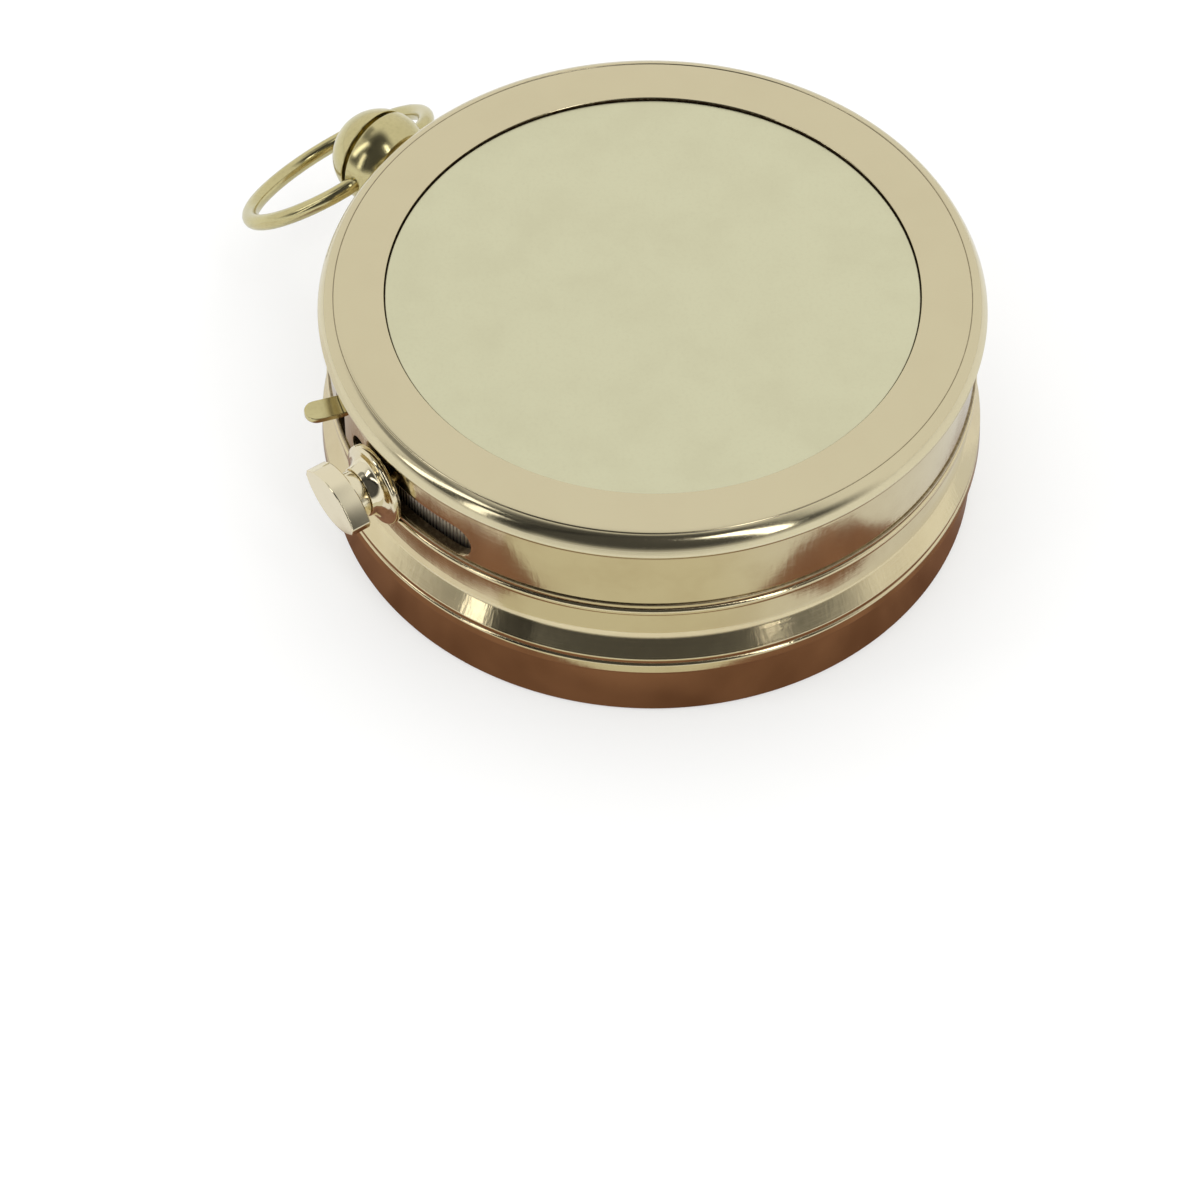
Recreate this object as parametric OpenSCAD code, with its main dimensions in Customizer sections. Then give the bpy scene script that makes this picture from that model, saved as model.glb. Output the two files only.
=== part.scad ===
/* [Case] */
// Outer radius of the upper wall, which every other radius of the case follows
body_r = 36.6; // [32:0.1:42]
// Thickness of the upper wall
body_wall_t = 1.2; // [1:0.1:2]
// How far the lower cup stands out of the upper wall
base_out = 0.5; // [0.2:0.1:1.2]
// Thickness of the cup's wall, collar included
base_wall_t = 3.2; // [2.6:0.1:4]
// Thickness of the cup's floor
base_floor_t = 1.6; // [1:0.1:3]
// Height of the plain lower wall
base_side_h = 7.2; // [5:0.1:12]
// Height of the half-round moulding on the cup
moulding_h = 1.8; // [1.2:0.1:2.4]
// How far the moulding stands out of the wall
moulding_out = 0.8; // [0.4:0.1:1.2]
// Height of the cup's collar inside the upper case
collar_h = 4.8; // [3:0.1:5.4]
// Height of the hollow moulding above the cup
cove_h = 5.9; // [5:0.1:8]
// Height of the plain neck above the hollow moulding
neck_h = 1.3; // [0.8:0.1:3]
// Height of the double rim under the windows
rim_h = 1.9; // [1.6:0.1:3]
// Height of the upper wall that holds the windows
window_wall_h = 7.9; // [7.6:0.1:10]

/* [Lid] */
// Height of the lid's rounded edge
lid_h = 3; // [2.6:0.1:4]
// Width of the flat ring around the inset plate
flat_w = 6; // [4:0.1:9]
// Thickness of the inset plate
plate_t = 1.2; // [0.8:0.05:1.4]
// How deep the plate lies below the ring around it
plate_drop = 0.35; // [0.1:0.05:0.5]
// Depth of the lid's skirt inside the case
skirt_h = 1.5; // [0.8:0.1:1.7]
// Direction of the hinge, counted from the right hand side
hinge_az = 35; // [10:1:60]
// Radius of a hinge knuckle
knuckle_r = 1.1; // [1:0.05:1.2]
// Length of the whole hinge
hinge_len = 12; // [8:0.5:16]

/* [Pendant and bail] */
// Direction of the pendant
pendant_az = 138.5; // [125:0.5:150]
// Radius of the ball
ball_r = 5.6; // [4.6:0.1:5.8]
// Distance of the ball's centre from the wall
ball_reach = 5.4; // [5:0.1:7]
// Radius of the bail's wire
bail_wire_r = 0.95; // [0.7:0.05:1.2]
// Radius of the bail's round part, at the middle of the wire
bail_r = 12; // [9.5:0.1:12.2]
// How far the bail hangs below level
bail_droop = 40; // [35:1:50]

/* [Variation ring and clamp] */
// Direction of the clamp at rest
clamp_az = 215; // [213:0.5:218]
// First direction that the clamp's stud reaches in its window
travel_first = 208; // [207:0.5:212]
// Last direction that the clamp's stud reaches in its window
travel_last = 233.5; // [220:0.5:236]
// Height of the windows
window_h = 4.5; // [4:0.1:4.6]
// Radius of the clamp's stud
stud_r = 1.4; // [1:0.1:1.6]
// Radius of the clamp's washer
washer_r = 4.8; // [3.6:0.1:5]
// Length of the thumb leaf
leaf_l = 10; // [7:0.1:12]
// Height of the thumb leaf
leaf_h = 5.6; // [5:0.1:6]
// Thickness of the thumb leaf
leaf_t = 2.4; // [1.6:0.1:3]

/* [Card and lifter] */
// Gap between the card and the ring of degrees
card_gap = 0.7; // [0.4:0.1:3]
// Length of a magnet bar
magnet_l = 26; // [16:0.5:34]
// Direction of the lifter's tab
lifter_az = 198; // [190:0.5:199]
// Width of the lifter's tab
tab_w = 2.8; // [2:0.1:3]
// How far the tab stands out of the wall
tab_out = 4.1; // [3:0.1:7]
// Distance of the lifter's pin from the card's centre
fulcrum_s = 8; // [7.5:0.1:9]

/* [Hidden] */
$fn = 120;

// Fits, and the overrun that every cut shares
run_fit = 0.05;
slip_fit = 0.1;
seat_gap = 0.05;
free_gap = 0.3;
over = 1;

// Levels of the case, from the floor up
moulding_z = base_side_h;
joint_z = moulding_z + moulding_h;
neck_z = joint_z + cove_h;
rim_z = neck_z + neck_h;
wall_z = rim_z + rim_h;
seam_z = wall_z + window_wall_h;
top_z = seam_z + lid_h;

// Radii of the case
bore_r = body_r - body_wall_t;
base_r = body_r + base_out;
cup_r = base_r - base_wall_t;
base_edge = 0.35;
cove_lip_out = 1.15;
cove_lip_h = 0.7;
cove_lip_edge = 0.25;
cove_curve_r = 6;
neck_in = 0.2;
rim_low_out = 0.35;
rim_top_out = 0.2;
rim_low_h = 1.1;
rim_groove_h = 0.2;
rim_groove_in = 0.05;
wall_edge = 0.2;

// The plate that carries the movement
plate_z = joint_z + collar_h;
plate_thick = 1.2;
deck_z = plate_z + plate_thick;
deck_r = bore_r - slip_fit - run_fit;
pillar_r = 2;
pillar_inset = 7.9;
pillar_ring_r = cup_r - pillar_inset;
pillar_count = 3;
screw_r = 0.8;
screw_head_r = 1.7;
screw_head_h = 1;
screw_depth = 5;
screw_fill_share = 0.8;
screw_slot_w = 0.4;
screw_slot_d = 0.4;

// The glass, its seat and its bezel
bezel_top_drop = 0.05;
bezel_lip_t = 0.55;
glass_t = 1;
gasket_t = 0.3;
seat_t = 0.6;
bezel_z1 = seam_z - bezel_top_drop;
glass_z1 = bezel_z1 - bezel_lip_t;
glass_z = glass_z1 - glass_t;
seat_z1 = glass_z - gasket_t;
seat_z = seat_z1 - seat_t;
bezel_wall_t = 0.65;
bezel_margin = 1.63;
bezel_r = bore_r - bezel_margin;
glass_r = bezel_r - bezel_wall_t - run_fit;
seat_w = 1.55;
seat_in_r = glass_r - seat_w;
bezel_in_w = 1.1;

// The variation ring, which turns between its seat and the glass seat
ring_seat_h = 1.8;
ring_seat_w = 1.05;
ring_z = deck_z + ring_seat_h + slip_fit;
ring_z1 = seat_z - free_gap;
ring_r = bore_r - 2 * slip_fit;
ring_band_t = 1.6;
ring_in_r = ring_r - ring_band_t;
ring_flange_t = 0.4;
dial_t = 0.2;
dial_w = 4.4;
dial_in_r = ring_in_r - dial_w;
dial_edge = 0.1;

// The windows in the wall
window_floor = 0.2;
window_cut_in = 0.35;
window_z = wall_z + window_floor;
window_mid_z = window_z + window_h / 2;

// The clamp, along its own axis outward from the wall
washer_gap = 0.5;
washer_t = 1;
washer_hub_h = 1.5;
washer_hub_r = 2.4;
washer_rim_share = 0.7;
flare_curve_share = 1.6;
flare_rise_share = 1.07;
thumb_hub_r = 2.2;
thumb_hub_l = 1.1;
leaf_tilt = -9;
leaf_shift_share = -0.05;
leaf_tip_share = 0.94;
leaf_skin = 0.8;
washer_s = body_r + washer_gap;
thumb_s = washer_s + washer_t + washer_hub_h + seat_gap;
leaf_s = thumb_s + thumb_hub_l;
stud_s1 = leaf_s + leaf_t - leaf_skin;
stud_s = ring_in_r + slip_fit;

// The card, its hub and its magnets
card_r = dial_in_r - card_gap;
card_t = 0.35;
card_air = 1.95;
card_z = glass_z - card_air - card_t;
hub_hole_r = 2.6;
hub_flange_r = 3.4;
hub_flange_t = 0.5;
hub_top_h = 0.95;
hub_step_share = 0.5;
hub_top_share = 0.7;
hub_skirt_h = 1.35;
hub_bore_r = 1.9;
hub_bore_h = 1.8;
jewel_r = 1.2;
jewel_t = 0.8;
jewel_dimple_r = 0.9;
jewel_dimple_h = 0.57;
jewel_dimple_tip_r = 0.08;
magnet_w = 2;
magnet_t = 1;
magnet_x = 6.5;
weight_l = 2.4;
weight_w = 1.6;
weight_t = 0.8;
weight_inset = 8.5;
weight_s = card_r - weight_inset;
hub_z = card_z - hub_skirt_h;
jewel_z = hub_z + hub_bore_h - jewel_t / 2;

// The post, its needle and the collar that slides on it
post_r = 1.5;
post_foot_r = 3.2;
post_foot_h = 1;
post_stem_r = 1;
post_stem_l = 3;
nut_r = 2.4;
nut_t = 1.6;
collar_r = 3.2;
collar_t = 0.9;
collar_z = hub_z - seat_gap - collar_t;
post_top_gap = 0.25;
post_z1 = jewel_z - jewel_t - post_top_gap;
needle_r = 0.45;
needle_shank_h = 3.2;
needle_tip_r = 0.06;
needle_tip_gap = 0.02;
needle_tip_z = jewel_z + jewel_dimple_h - needle_tip_gap;
needle_cone_h = 1.25;

// The lifter: a cranked lever under the card
lever_t = 0.7;
lever_z1 = collar_z - seat_gap;
lever_z = lever_z1 - lever_t;
pin_z = lever_z + lever_t / 2;
pin_r = 0.5;
lever_boss_r = 1.1;
fork_w = 6.4;
fork_slot_w = 3.6;
fork_l = 5.2;
fork_web = 1.2;
crank_gap = 2;
crank_s = card_r + crank_gap;
tab_z1 = ring_z1 - dial_t - ring_flange_t - free_gap;
tab_s1 = body_r + tab_out;
bracket_cheek_t = 0.8;
bracket_in_w = tab_w + 2 * slip_fit;
bracket_w = bracket_in_w + 2 * bracket_cheek_t;
bracket_foot_l = 6;
bracket_foot_t = 0.6;
bracket_top_r = 1.2;
bracket_screw_r = 0.45;
bracket_screw_head_r = 0.9;
bracket_screw_head_h = 0.5;
bracket_screw_pitch = 4.2;
bracket_screw_depth = 1;
tab_side_gap = 0.2;
gap_margin_az = 1;
gap_half_az = asin((tab_w / 2 + tab_side_gap) / ring_in_r) + gap_margin_az;
gap_before = travel_last - clamp_az + gap_half_az;
gap_after = clamp_az - travel_first + gap_half_az;

// The index that the card is read against
index_l = 2.8;
index_w = 1.6;

// The lid, from the outside in
lid_bead_r = lid_h / 2;
lid_bead_out = 0.9;
lid_bead_s = body_r + lid_bead_out - lid_bead_r;
plate_r = lid_bead_s - flat_w;
lid_step_out = 0.35;
lid_step_h = 0.5;
lid_groove_w = 0.3;
lid_groove_d = 0.22;
lid_ledge_w = 2;
lid_ledge_t = 0.6;
skirt_t = 0.9;
skirt_fit = 0.15;
skirt_r = bore_r - skirt_fit;
skirt_in_r = skirt_r - skirt_t;
lid_wall_in = 0.2;
lid_wall_r = skirt_in_r - lid_wall_in;
skirt_break = 25;
plate_z1 = top_z - plate_drop;
plate_z0 = plate_z1 - plate_t;
plate_edge = 0.15;

// The hinge at the seam
hinge_out_share = 0.36;
hinge_drop_share = 0.91;
hinge_s = body_r + hinge_out_share * knuckle_r;
hinge_z = seam_z - hinge_drop_share * knuckle_r;
hinge_pin_r = 0.5;
hinge_relief = 0.2;
knuckle_mid_share = 0.46;
knuckle_gap = 0.1;
knuckle_lug_w = 1;

// The pendant: stud, collar, ball and cap along one axis
pendant_rise = 1.05;
pendant_z = window_mid_z + pendant_rise;
pendant_stud_r = 1.5;
ball_s = body_r + ball_reach;
collar_face = 3.3;
collar_out_r = 3.7;
collar_s1 = ball_s - collar_face;
ball_groove_out = 0.5;
ball_groove_s = ball_s + ball_groove_out;
ball_groove_w = 0.6;
ball_groove_r = 4.3;
ball_wall = 0.15;
bail_hole_r = bail_wire_r + run_fit;
bail_s = ball_groove_s - ball_wall - bail_hole_r;
pendant_stud_s1 = bail_s - bail_hole_r - ball_wall;
pendant_stud_inset = 0.15;

// The bail: a straight pin in the ball and a round loop, which meet in two rounded corners
bail_corner_out = 0.5;
bail_corner_share = 1.04;
bail_corner_r = bail_corner_share * bail_wire_r;
bail_pin_half = ball_r + bail_corner_out;
bail_mid = sqrt(bail_r * bail_r - bail_pin_half * bail_pin_half);
bail_corner_az = atan2(-bail_mid, bail_pin_half);

// Centre of the arc of radius r that joins p to q and is hollow towards larger x
function arc_centre(p, q, r) =
    let (m = (p + q) / 2, d = q - p, l = norm(d), h = sqrt(r * r - l * l / 4))
    m + h * [d[1], -d[0]] / l;

// A ring between two radii and two levels
module ring(r_out, r_in, z0, z1) {
    translate([0, 0, z0])
        difference() {
            cylinder(r = r_out, h = z1 - z0);
            translate([0, 0, -over]) cylinder(r = r_in, h = z1 - z0 + 2 * over);
        }
}

// A round rod along the local x axis, from s0 to s1
module radial_rod(r, s0, s1) {
    translate([s0, 0, 0]) rotate([0, 90, 0]) cylinder(r = r, h = s1 - s0);
}

// A round rod along the local y axis, centred there
module cross_rod(r, l) {
    rotate([90, 0, 0]) cylinder(r = r, h = l, center = true);
}

// A block from s0 to s1 along x, w wide about y and from z0 to z1
module block(s0, s1, w, z0, z1) {
    translate([s0, -w / 2, z0]) cube([s1 - s0, w, z1 - z0]);
}

// Turns the children's x axis to a direction around the case
module towards(az, z = 0) {
    rotate([0, 0, az]) translate([0, 0, z]) children();
}

// A slotted screw with its head on level z and its shank below
module slotted_screw(r, head_r, head_h, depth, z) {
    difference() {
        union() {
            translate([0, 0, z]) cylinder(r = head_r, h = head_h);
            translate([0, 0, z - depth]) cylinder(r = r, h = depth + head_h / 2);
        }
        block(-head_r - over, head_r + over, screw_slot_w, z + head_h - screw_slot_d, z + head_h + over);
    }
}

// The places of the pillars and of their screws
module at_pillars() {
    for (i = [0:pillar_count - 1])
        towards(lifter_az + (i + 0.5) * 360 / pillar_count) translate([pillar_ring_r, 0, 0]) children();
}

// The lower cup: floor, plain wall, half-round moulding and the collar above it
module case_base() {
    color("darkgoldenrod")
    rotate_extrude() difference() {
        union() {
            polygon([[0, 0], [base_r - base_edge, 0], [base_r, base_edge], [base_r, joint_z], [0, joint_z]]);
            intersection() {
                translate([base_r + moulding_out - moulding_h / 2, moulding_z + moulding_h / 2])
                    circle(r = moulding_h / 2);
                translate([cup_r, 0]) square([base_wall_t + moulding_out, joint_z]);
            }
            translate([cup_r, 0]) square([bore_r - slip_fit - cup_r, plate_z]);
        }
        translate([0, base_floor_t]) square([cup_r, plate_z]);
    }
}

// The outline of the upper case: lip, hollow, neck, double rim and wall
module body_outline() {
    lip = [body_r + cove_lip_out, joint_z + cove_lip_h];
    neck = [body_r - neck_in, neck_z];
    difference() {
        union() {
            polygon([[bore_r, joint_z], [lip[0] - cove_lip_edge, joint_z],
                [lip[0], joint_z + cove_lip_edge], lip, neck, [neck[0], wall_z], [bore_r, wall_z]]);
            translate([bore_r, rim_z]) square([body_wall_t + rim_low_out - rim_low_h / 4, rim_low_h]);
            translate([body_r + rim_low_out - rim_low_h / 2, rim_z + rim_low_h / 2])
                circle(r = rim_low_h / 2);
            translate([bore_r, rim_z]) square([body_wall_t - rim_groove_in, rim_h]);
            translate([bore_r, rim_z + rim_low_h + rim_groove_h])
                square([body_wall_t + rim_top_out, rim_h - rim_low_h - rim_groove_h]);
            polygon([[bore_r, rim_z], [body_r, rim_z + rim_h / 2], [body_r, seam_z - wall_edge],
                [body_r - wall_edge, seam_z], [bore_r, seam_z]]);
        }
        translate(arc_centre(lip, neck, cove_curve_r)) circle(r = cove_curve_r);
    }
    translate([seat_in_r, seat_z]) square([bore_r - seat_in_r + over / 4, seat_t]);
}

// The upper case, with the clamp's window, the lifter's slot and the hinge knuckles
module case_body() {
    knuckle_w = hinge_len * knuckle_mid_share + 2 * knuckle_gap;
    color("goldenrod")
    difference() {
        union() {
            rotate_extrude() body_outline();
            towards(hinge_az) intersection() {
                translate([hinge_s, 0, hinge_z]) cross_rod(knuckle_r, hinge_len);
                block(bore_r + body_wall_t / 4, hinge_s + knuckle_r + over, hinge_len, wall_z, top_z);
            }
        }
        rotate([0, 0, travel_first]) rotate_extrude(angle = travel_last - travel_first)
            translate([bore_r - window_cut_in, window_z]) square([body_wall_t + over, window_h]);
        for (az = [travel_first, travel_last])
            towards(az, window_mid_z) radial_rod(window_h / 2 - run_fit, bore_r - over / 2, body_r + 2 * over);
        towards(lifter_az)
            block(bore_r - over / 2, body_r + over, tab_w + 2 * tab_side_gap, window_z, tab_z1 + free_gap);
        towards(pendant_az, pendant_z)
            radial_rod(pendant_stud_r + run_fit, bore_r - over / 2, body_r + over);
        towards(hinge_az) translate([hinge_s, 0, hinge_z]) {
            cross_rod(hinge_pin_r + run_fit, hinge_len + 2 * over);
            cross_rod(knuckle_r + hinge_relief, knuckle_w);
        }
    }
}

// Three pillars from the cup's floor to the movement plate
module plate_pillars() {
    color("darkkhaki")
    at_pillars() difference() {
        translate([0, 0, base_floor_t]) cylinder(r = pillar_r, h = plate_z - base_floor_t);
        translate([0, 0, plate_z - screw_depth]) cylinder(r = screw_r + run_fit, h = screw_depth + over);
    }
}

// The plate that carries the post, the lifter and the ring's seat
module movement_plate() {
    color("khaki")
    difference() {
        translate([0, 0, plate_z]) cylinder(r = deck_r, h = plate_thick);
        translate([0, 0, plate_z - over]) {
            cylinder(r = post_stem_r + run_fit, h = plate_thick + 2 * over);
            at_pillars() cylinder(r = screw_r + run_fit, h = plate_thick + 2 * over);
        }
        at_bracket_screws() translate([0, 0, deck_z - bracket_screw_depth])
            cylinder(r = bracket_screw_r + run_fit, h = bracket_screw_depth + over);
    }
}

// Three screws that hold the movement plate to its pillars
module plate_screws() {
    color("slategray")
    at_pillars() slotted_screw(screw_r, screw_head_r, screw_head_h, plate_thick + screw_depth * screw_fill_share, deck_z);
}

// The narrow seat that the variation ring turns on
module ring_seat() {
    color("peru") ring(deck_r, deck_r - ring_seat_w, deck_z, deck_z + ring_seat_h);
}

// The variation ring: a knurled band, notched for the lifter, with a flange for the degree ring
module variation_ring() {
    color("gray")
    difference() {
        union() {
            ring(ring_r, ring_in_r, ring_z, ring_z1);
            ring(ring_in_r + ring_band_t / 2, dial_in_r, ring_z1 - dial_t - ring_flange_t, ring_z1 - dial_t);
        }
        rotate([0, 0, lifter_az - gap_before]) rotate_extrude(angle = gap_before + gap_after)
            translate([ring_in_r - over, ring_z - over])
                square([ring_band_t + 2 * over, tab_z1 + free_gap - ring_z + over]);
        towards(clamp_az, window_mid_z) radial_rod(stud_r + run_fit / 2, ring_in_r - over / 2, ring_r + over);
    }
}

// The silvered ring of degrees on the variation ring
module degree_ring() {
    color("gainsboro") ring(ring_in_r - dial_edge, dial_in_r, ring_z1 - dial_t, ring_z1);
}

// The stud that joins the clamp to the variation ring
module clamp_stud() {
    color("silver") towards(clamp_az, window_mid_z) radial_rod(stud_r, stud_s, stud_s1);
}

// The round washer with its hollow flare
module clamp_washer() {
    curve_r = washer_hub_h * flare_curve_share;
    color("wheat")
    towards(clamp_az, window_mid_z) rotate([0, 90, 0]) rotate_extrude() difference() {
        polygon([[stud_r + run_fit, washer_s], [washer_r, washer_s], [washer_r, washer_s + washer_t * washer_rim_share],
            [washer_r - washer_t * (1 - washer_rim_share), washer_s + washer_t], [washer_r - washer_t / 2, washer_s + washer_t],
            [washer_hub_r, washer_s + washer_t + washer_hub_h],
            [stud_r + run_fit, washer_s + washer_t + washer_hub_h]]);
        translate([washer_hub_r + curve_r, washer_s + washer_t + washer_hub_h * flare_rise_share])
            circle(r = curve_r);
    }
}

// The outline of the thumb leaf: two arcs that meet in blunted tips
module leaf_outline() {
    arc_r = (leaf_l * leaf_l / 4 + leaf_h * leaf_h / 4) / leaf_h;
    intersection() {
        translate([0, leaf_h / 2 - arc_r]) circle(r = arc_r);
        translate([0, arc_r - leaf_h / 2]) circle(r = arc_r);
        circle(r = leaf_tip_share * leaf_l / 2);
    }
}

// The thumb piece that tightens the clamp
module clamp_thumb() {
    color("ivory")
    towards(clamp_az, window_mid_z) difference() {
        union() {
            radial_rod(thumb_hub_r, thumb_s, leaf_s + leaf_t / 2);
            translate([leaf_s, 0, 0]) rotate([90, 0, 90]) rotate([0, 0, leaf_tilt])
                translate([leaf_shift_share * leaf_l, 0, 0]) linear_extrude(height = leaf_t) leaf_outline();
        }
        radial_rod(stud_r + run_fit, thumb_s - over, stud_s1 + run_fit);
    }
}

// The turned post that carries the needle
module pivot_post() {
    color("gold")
    difference() {
        union() {
            translate([0, 0, deck_z]) cylinder(r = post_foot_r, h = post_foot_h);
            translate([0, 0, deck_z]) cylinder(r = post_r, h = post_z1 - deck_z);
            translate([0, 0, deck_z - post_stem_l]) cylinder(r = post_stem_r, h = post_stem_l + over / 2);
        }
        translate([0, 0, needle_tip_z - needle_cone_h - needle_shank_h])
            cylinder(r = needle_r + run_fit, h = needle_shank_h + needle_cone_h);
    }
}

// The round nut under the movement plate
module post_nut() {
    color("dimgray") ring(nut_r, post_stem_r + run_fit, plate_z - nut_t, plate_z);
}

// The steel needle that the card turns on
module pivot_needle() {
    z0 = needle_tip_z - needle_cone_h;
    color("lightslategray") {
        translate([0, 0, z0 - needle_shank_h]) cylinder(r = needle_r, h = needle_shank_h);
        translate([0, 0, z0]) cylinder(r1 = needle_r, r2 = needle_tip_r, h = needle_cone_h);
    }
}

// The collar that lifts the card off the needle
module lift_collar() {
    color("orange") ring(collar_r, post_r + slip_fit, collar_z, collar_z + collar_t);
}

// The round card
module card_disc() {
    color("white") ring(card_r, hub_hole_r + run_fit, card_z, card_z + card_t);
}

// The brass hub in the middle of the card
module card_hub() {
    color("gold")
    rotate_extrude() difference() {
        union() {
            translate([0, hub_z]) square([hub_flange_r, hub_skirt_h]);
            translate([0, card_z - seat_gap]) square([hub_hole_r, card_t + hub_top_h * hub_step_share]);
            translate([0, card_z]) square([hub_hole_r * hub_top_share, card_t + hub_top_h]);
        }
        translate([0, hub_z - over]) square([hub_bore_r, hub_bore_h - jewel_t / 2 + over - run_fit]);
        translate([0, hub_z]) square([jewel_r + run_fit, hub_bore_h + jewel_t / 2]);
    }
}

// The jewel cup that rests on the needle
module cap_jewel() {
    color("firebrick")
    difference() {
        translate([0, 0, jewel_z]) cylinder(r = jewel_r, h = jewel_t);
        translate([0, 0, jewel_z - run_fit])
            cylinder(r1 = jewel_dimple_r, r2 = jewel_dimple_tip_r, h = jewel_dimple_h + run_fit);
    }
}

// Two magnet bars under the card
module card_magnets() {
    color("black")
    for (side = [-1, 1])
        translate([side * magnet_x - magnet_w / 2, -magnet_l / 2, card_z - magnet_t])
            cube([magnet_w, magnet_l, magnet_t]);
}

// The small weight that levels the card
module balance_weight() {
    color("brown") translate([0, -weight_s, card_z - weight_t])
        translate([-weight_w / 2, -weight_l / 2, 0]) cube([weight_w, weight_l, weight_t]);
}

// The lifter: fork, arm, crank and the tab outside the wall
module card_lifter() {
    color("olive")
    towards(lifter_az) difference() {
        union() {
            block(0, fork_l + fork_web, fork_w, lever_z, lever_z1);
            block(fork_l, crank_s + lever_t, tab_w, lever_z, lever_z1);
            block(crank_s, crank_s + lever_t, tab_w, lever_z, tab_z1);
            block(crank_s, tab_s1 - tab_w / 2, tab_w, tab_z1 - lever_t, tab_z1);
            translate([tab_s1 - tab_w / 2, 0, tab_z1 - lever_t]) cylinder(r = tab_w / 2, h = lever_t);
            translate([fulcrum_s, 0, pin_z]) cross_rod(lever_boss_r, tab_w);
        }
        block(-over, fork_l, fork_slot_w, lever_z - over, lever_z1 + over);
        translate([fulcrum_s, 0, pin_z]) cross_rod(pin_r + run_fit, tab_w + 2 * over);
    }
}

// The places of the bracket's two screws, on the deck
module at_bracket_screws() {
    for (side = [-1, 1])
        towards(lifter_az) translate([fulcrum_s + side * bracket_screw_pitch / 2, 0, 0]) children();
}

// The bracket that holds the lifter's pin
module lifter_bracket() {
    cheek_l = 2 * bracket_top_r;
    color("tan")
    difference() {
        towards(lifter_az) union() {
            block(fulcrum_s - bracket_foot_l / 2, fulcrum_s + bracket_foot_l / 2,
                bracket_w, deck_z, deck_z + bracket_foot_t);
            difference() {
                union() {
                    block(fulcrum_s - cheek_l / 2, fulcrum_s + cheek_l / 2,
                        bracket_w, deck_z, pin_z);
                    translate([fulcrum_s, 0, pin_z])
                        cross_rod(bracket_top_r, bracket_w);
                }
                block(fulcrum_s - cheek_l, fulcrum_s + cheek_l, bracket_in_w,
                    deck_z + bracket_foot_t, top_z);
            }
        }
        towards(lifter_az) translate([fulcrum_s, 0, pin_z]) cross_rod(pin_r + run_fit / 2, fork_w + 2 * over);
        at_bracket_screws() translate([0, 0, deck_z - over])
            cylinder(r = bracket_screw_r + run_fit, h = bracket_foot_t + 2 * over);
    }
}

// The lifter's pin
module lifter_pin() {
    color("steelblue") towards(lifter_az) translate([fulcrum_s, 0, pin_z])
        cross_rod(pin_r, bracket_w);
}

// Two small screws that hold the bracket to the deck
module bracket_screws() {
    color("steelblue")
    at_bracket_screws() slotted_screw(bracket_screw_r, bracket_screw_head_r, bracket_screw_head_h,
        bracket_foot_t + bracket_screw_depth * screw_fill_share, deck_z + bracket_foot_t);
}

// The gasket under the glass
module glass_gasket() {
    color("black") ring(glass_r, seat_in_r, seat_z1, glass_z);
}

// The flat glass
module glass() {
    color("lightblue", 0.35) translate([0, 0, glass_z]) cylinder(r = glass_r, h = glass_t);
}

// The ring that holds the glass down
module glass_bezel() {
    color("gold") {
        ring(bezel_r, glass_r + run_fit, seat_z1, bezel_z1);
        ring(bezel_r, glass_r - bezel_in_w, glass_z1, bezel_z1);
    }
}

// The index at the pendant's side of the glass seat
module index_point() {
    color("crimson")
    towards(pendant_az, seat_z) intersection() {
        cylinder(r = seat_in_r - run_fit, h = seat_t);
        linear_extrude(height = seat_t)
            polygon([[seat_in_r - index_l, 0], [seat_in_r, -index_w / 2], [seat_in_r, index_w / 2]]);
    }
}

// The outline of the lid's ring: flat top, groove, round edge, step and ledge
module lid_outline() {
    groove_r = lid_bead_s - lid_groove_w;
    difference() {
        union() {
            translate([plate_r + run_fit, plate_z0]) square([lid_bead_s - plate_r - run_fit, top_z - plate_z0]);
            translate([plate_r - lid_ledge_w, plate_z0 - lid_ledge_t])
                square([lid_bead_s - plate_r + lid_ledge_w, lid_ledge_t]);
            translate([lid_wall_r, seam_z]) square([lid_bead_s - lid_wall_r, lid_h - lid_groove_d]);
            translate([lid_wall_r, seam_z]) square([body_r + lid_step_out - lid_wall_r, lid_step_h]);
            translate([lid_bead_s, seam_z + lid_bead_r]) circle(r = lid_bead_r);
        }
        polygon([[groove_r - lid_groove_w / 2, top_z + over], [groove_r - lid_groove_w / 2, top_z],
            [groove_r, top_z - lid_groove_d], [groove_r + lid_groove_w / 2, top_z],
            [groove_r + lid_groove_w / 2, top_z + over]]);
    }
}

// The lid's ring with its skirt and its hinge knuckle
module lid_ring() {
    knuckle_w = hinge_len * knuckle_mid_share;
    side_w = (hinge_len - knuckle_w) / 2 + knuckle_gap;
    color("palegoldenrod")
    difference() {
        union() {
            rotate_extrude() lid_outline();
            rotate([0, 0, hinge_az + skirt_break]) rotate_extrude(angle = 360 - 2 * skirt_break)
                translate([skirt_in_r, seam_z - skirt_h]) square([skirt_t, skirt_h + lid_step_h / 2]);
            towards(hinge_az) {
                translate([hinge_s, 0, hinge_z]) cross_rod(knuckle_r, knuckle_w);
                block(hinge_s - knuckle_lug_w / 2, hinge_s + knuckle_lug_w / 2, knuckle_w,
                    hinge_z, seam_z + lid_step_h);
            }
        }
        towards(hinge_az) translate([hinge_s, 0, hinge_z]) {
            cross_rod(hinge_pin_r + run_fit, hinge_len + 2 * over);
            for (side = [-1, 1])
                translate([0, side * (hinge_len + knuckle_w) / 4, 0]) cross_rod(knuckle_r + hinge_relief, side_w);
        }
    }
}

// The inset plate on top of the lid
module lid_plate() {
    color("khaki")
    rotate_extrude()
        polygon([[0, plate_z0], [plate_r, plate_z0], [plate_r, plate_z1 - plate_edge],
            [plate_r - plate_edge, plate_z1], [0, plate_z1]]);
}

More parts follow.
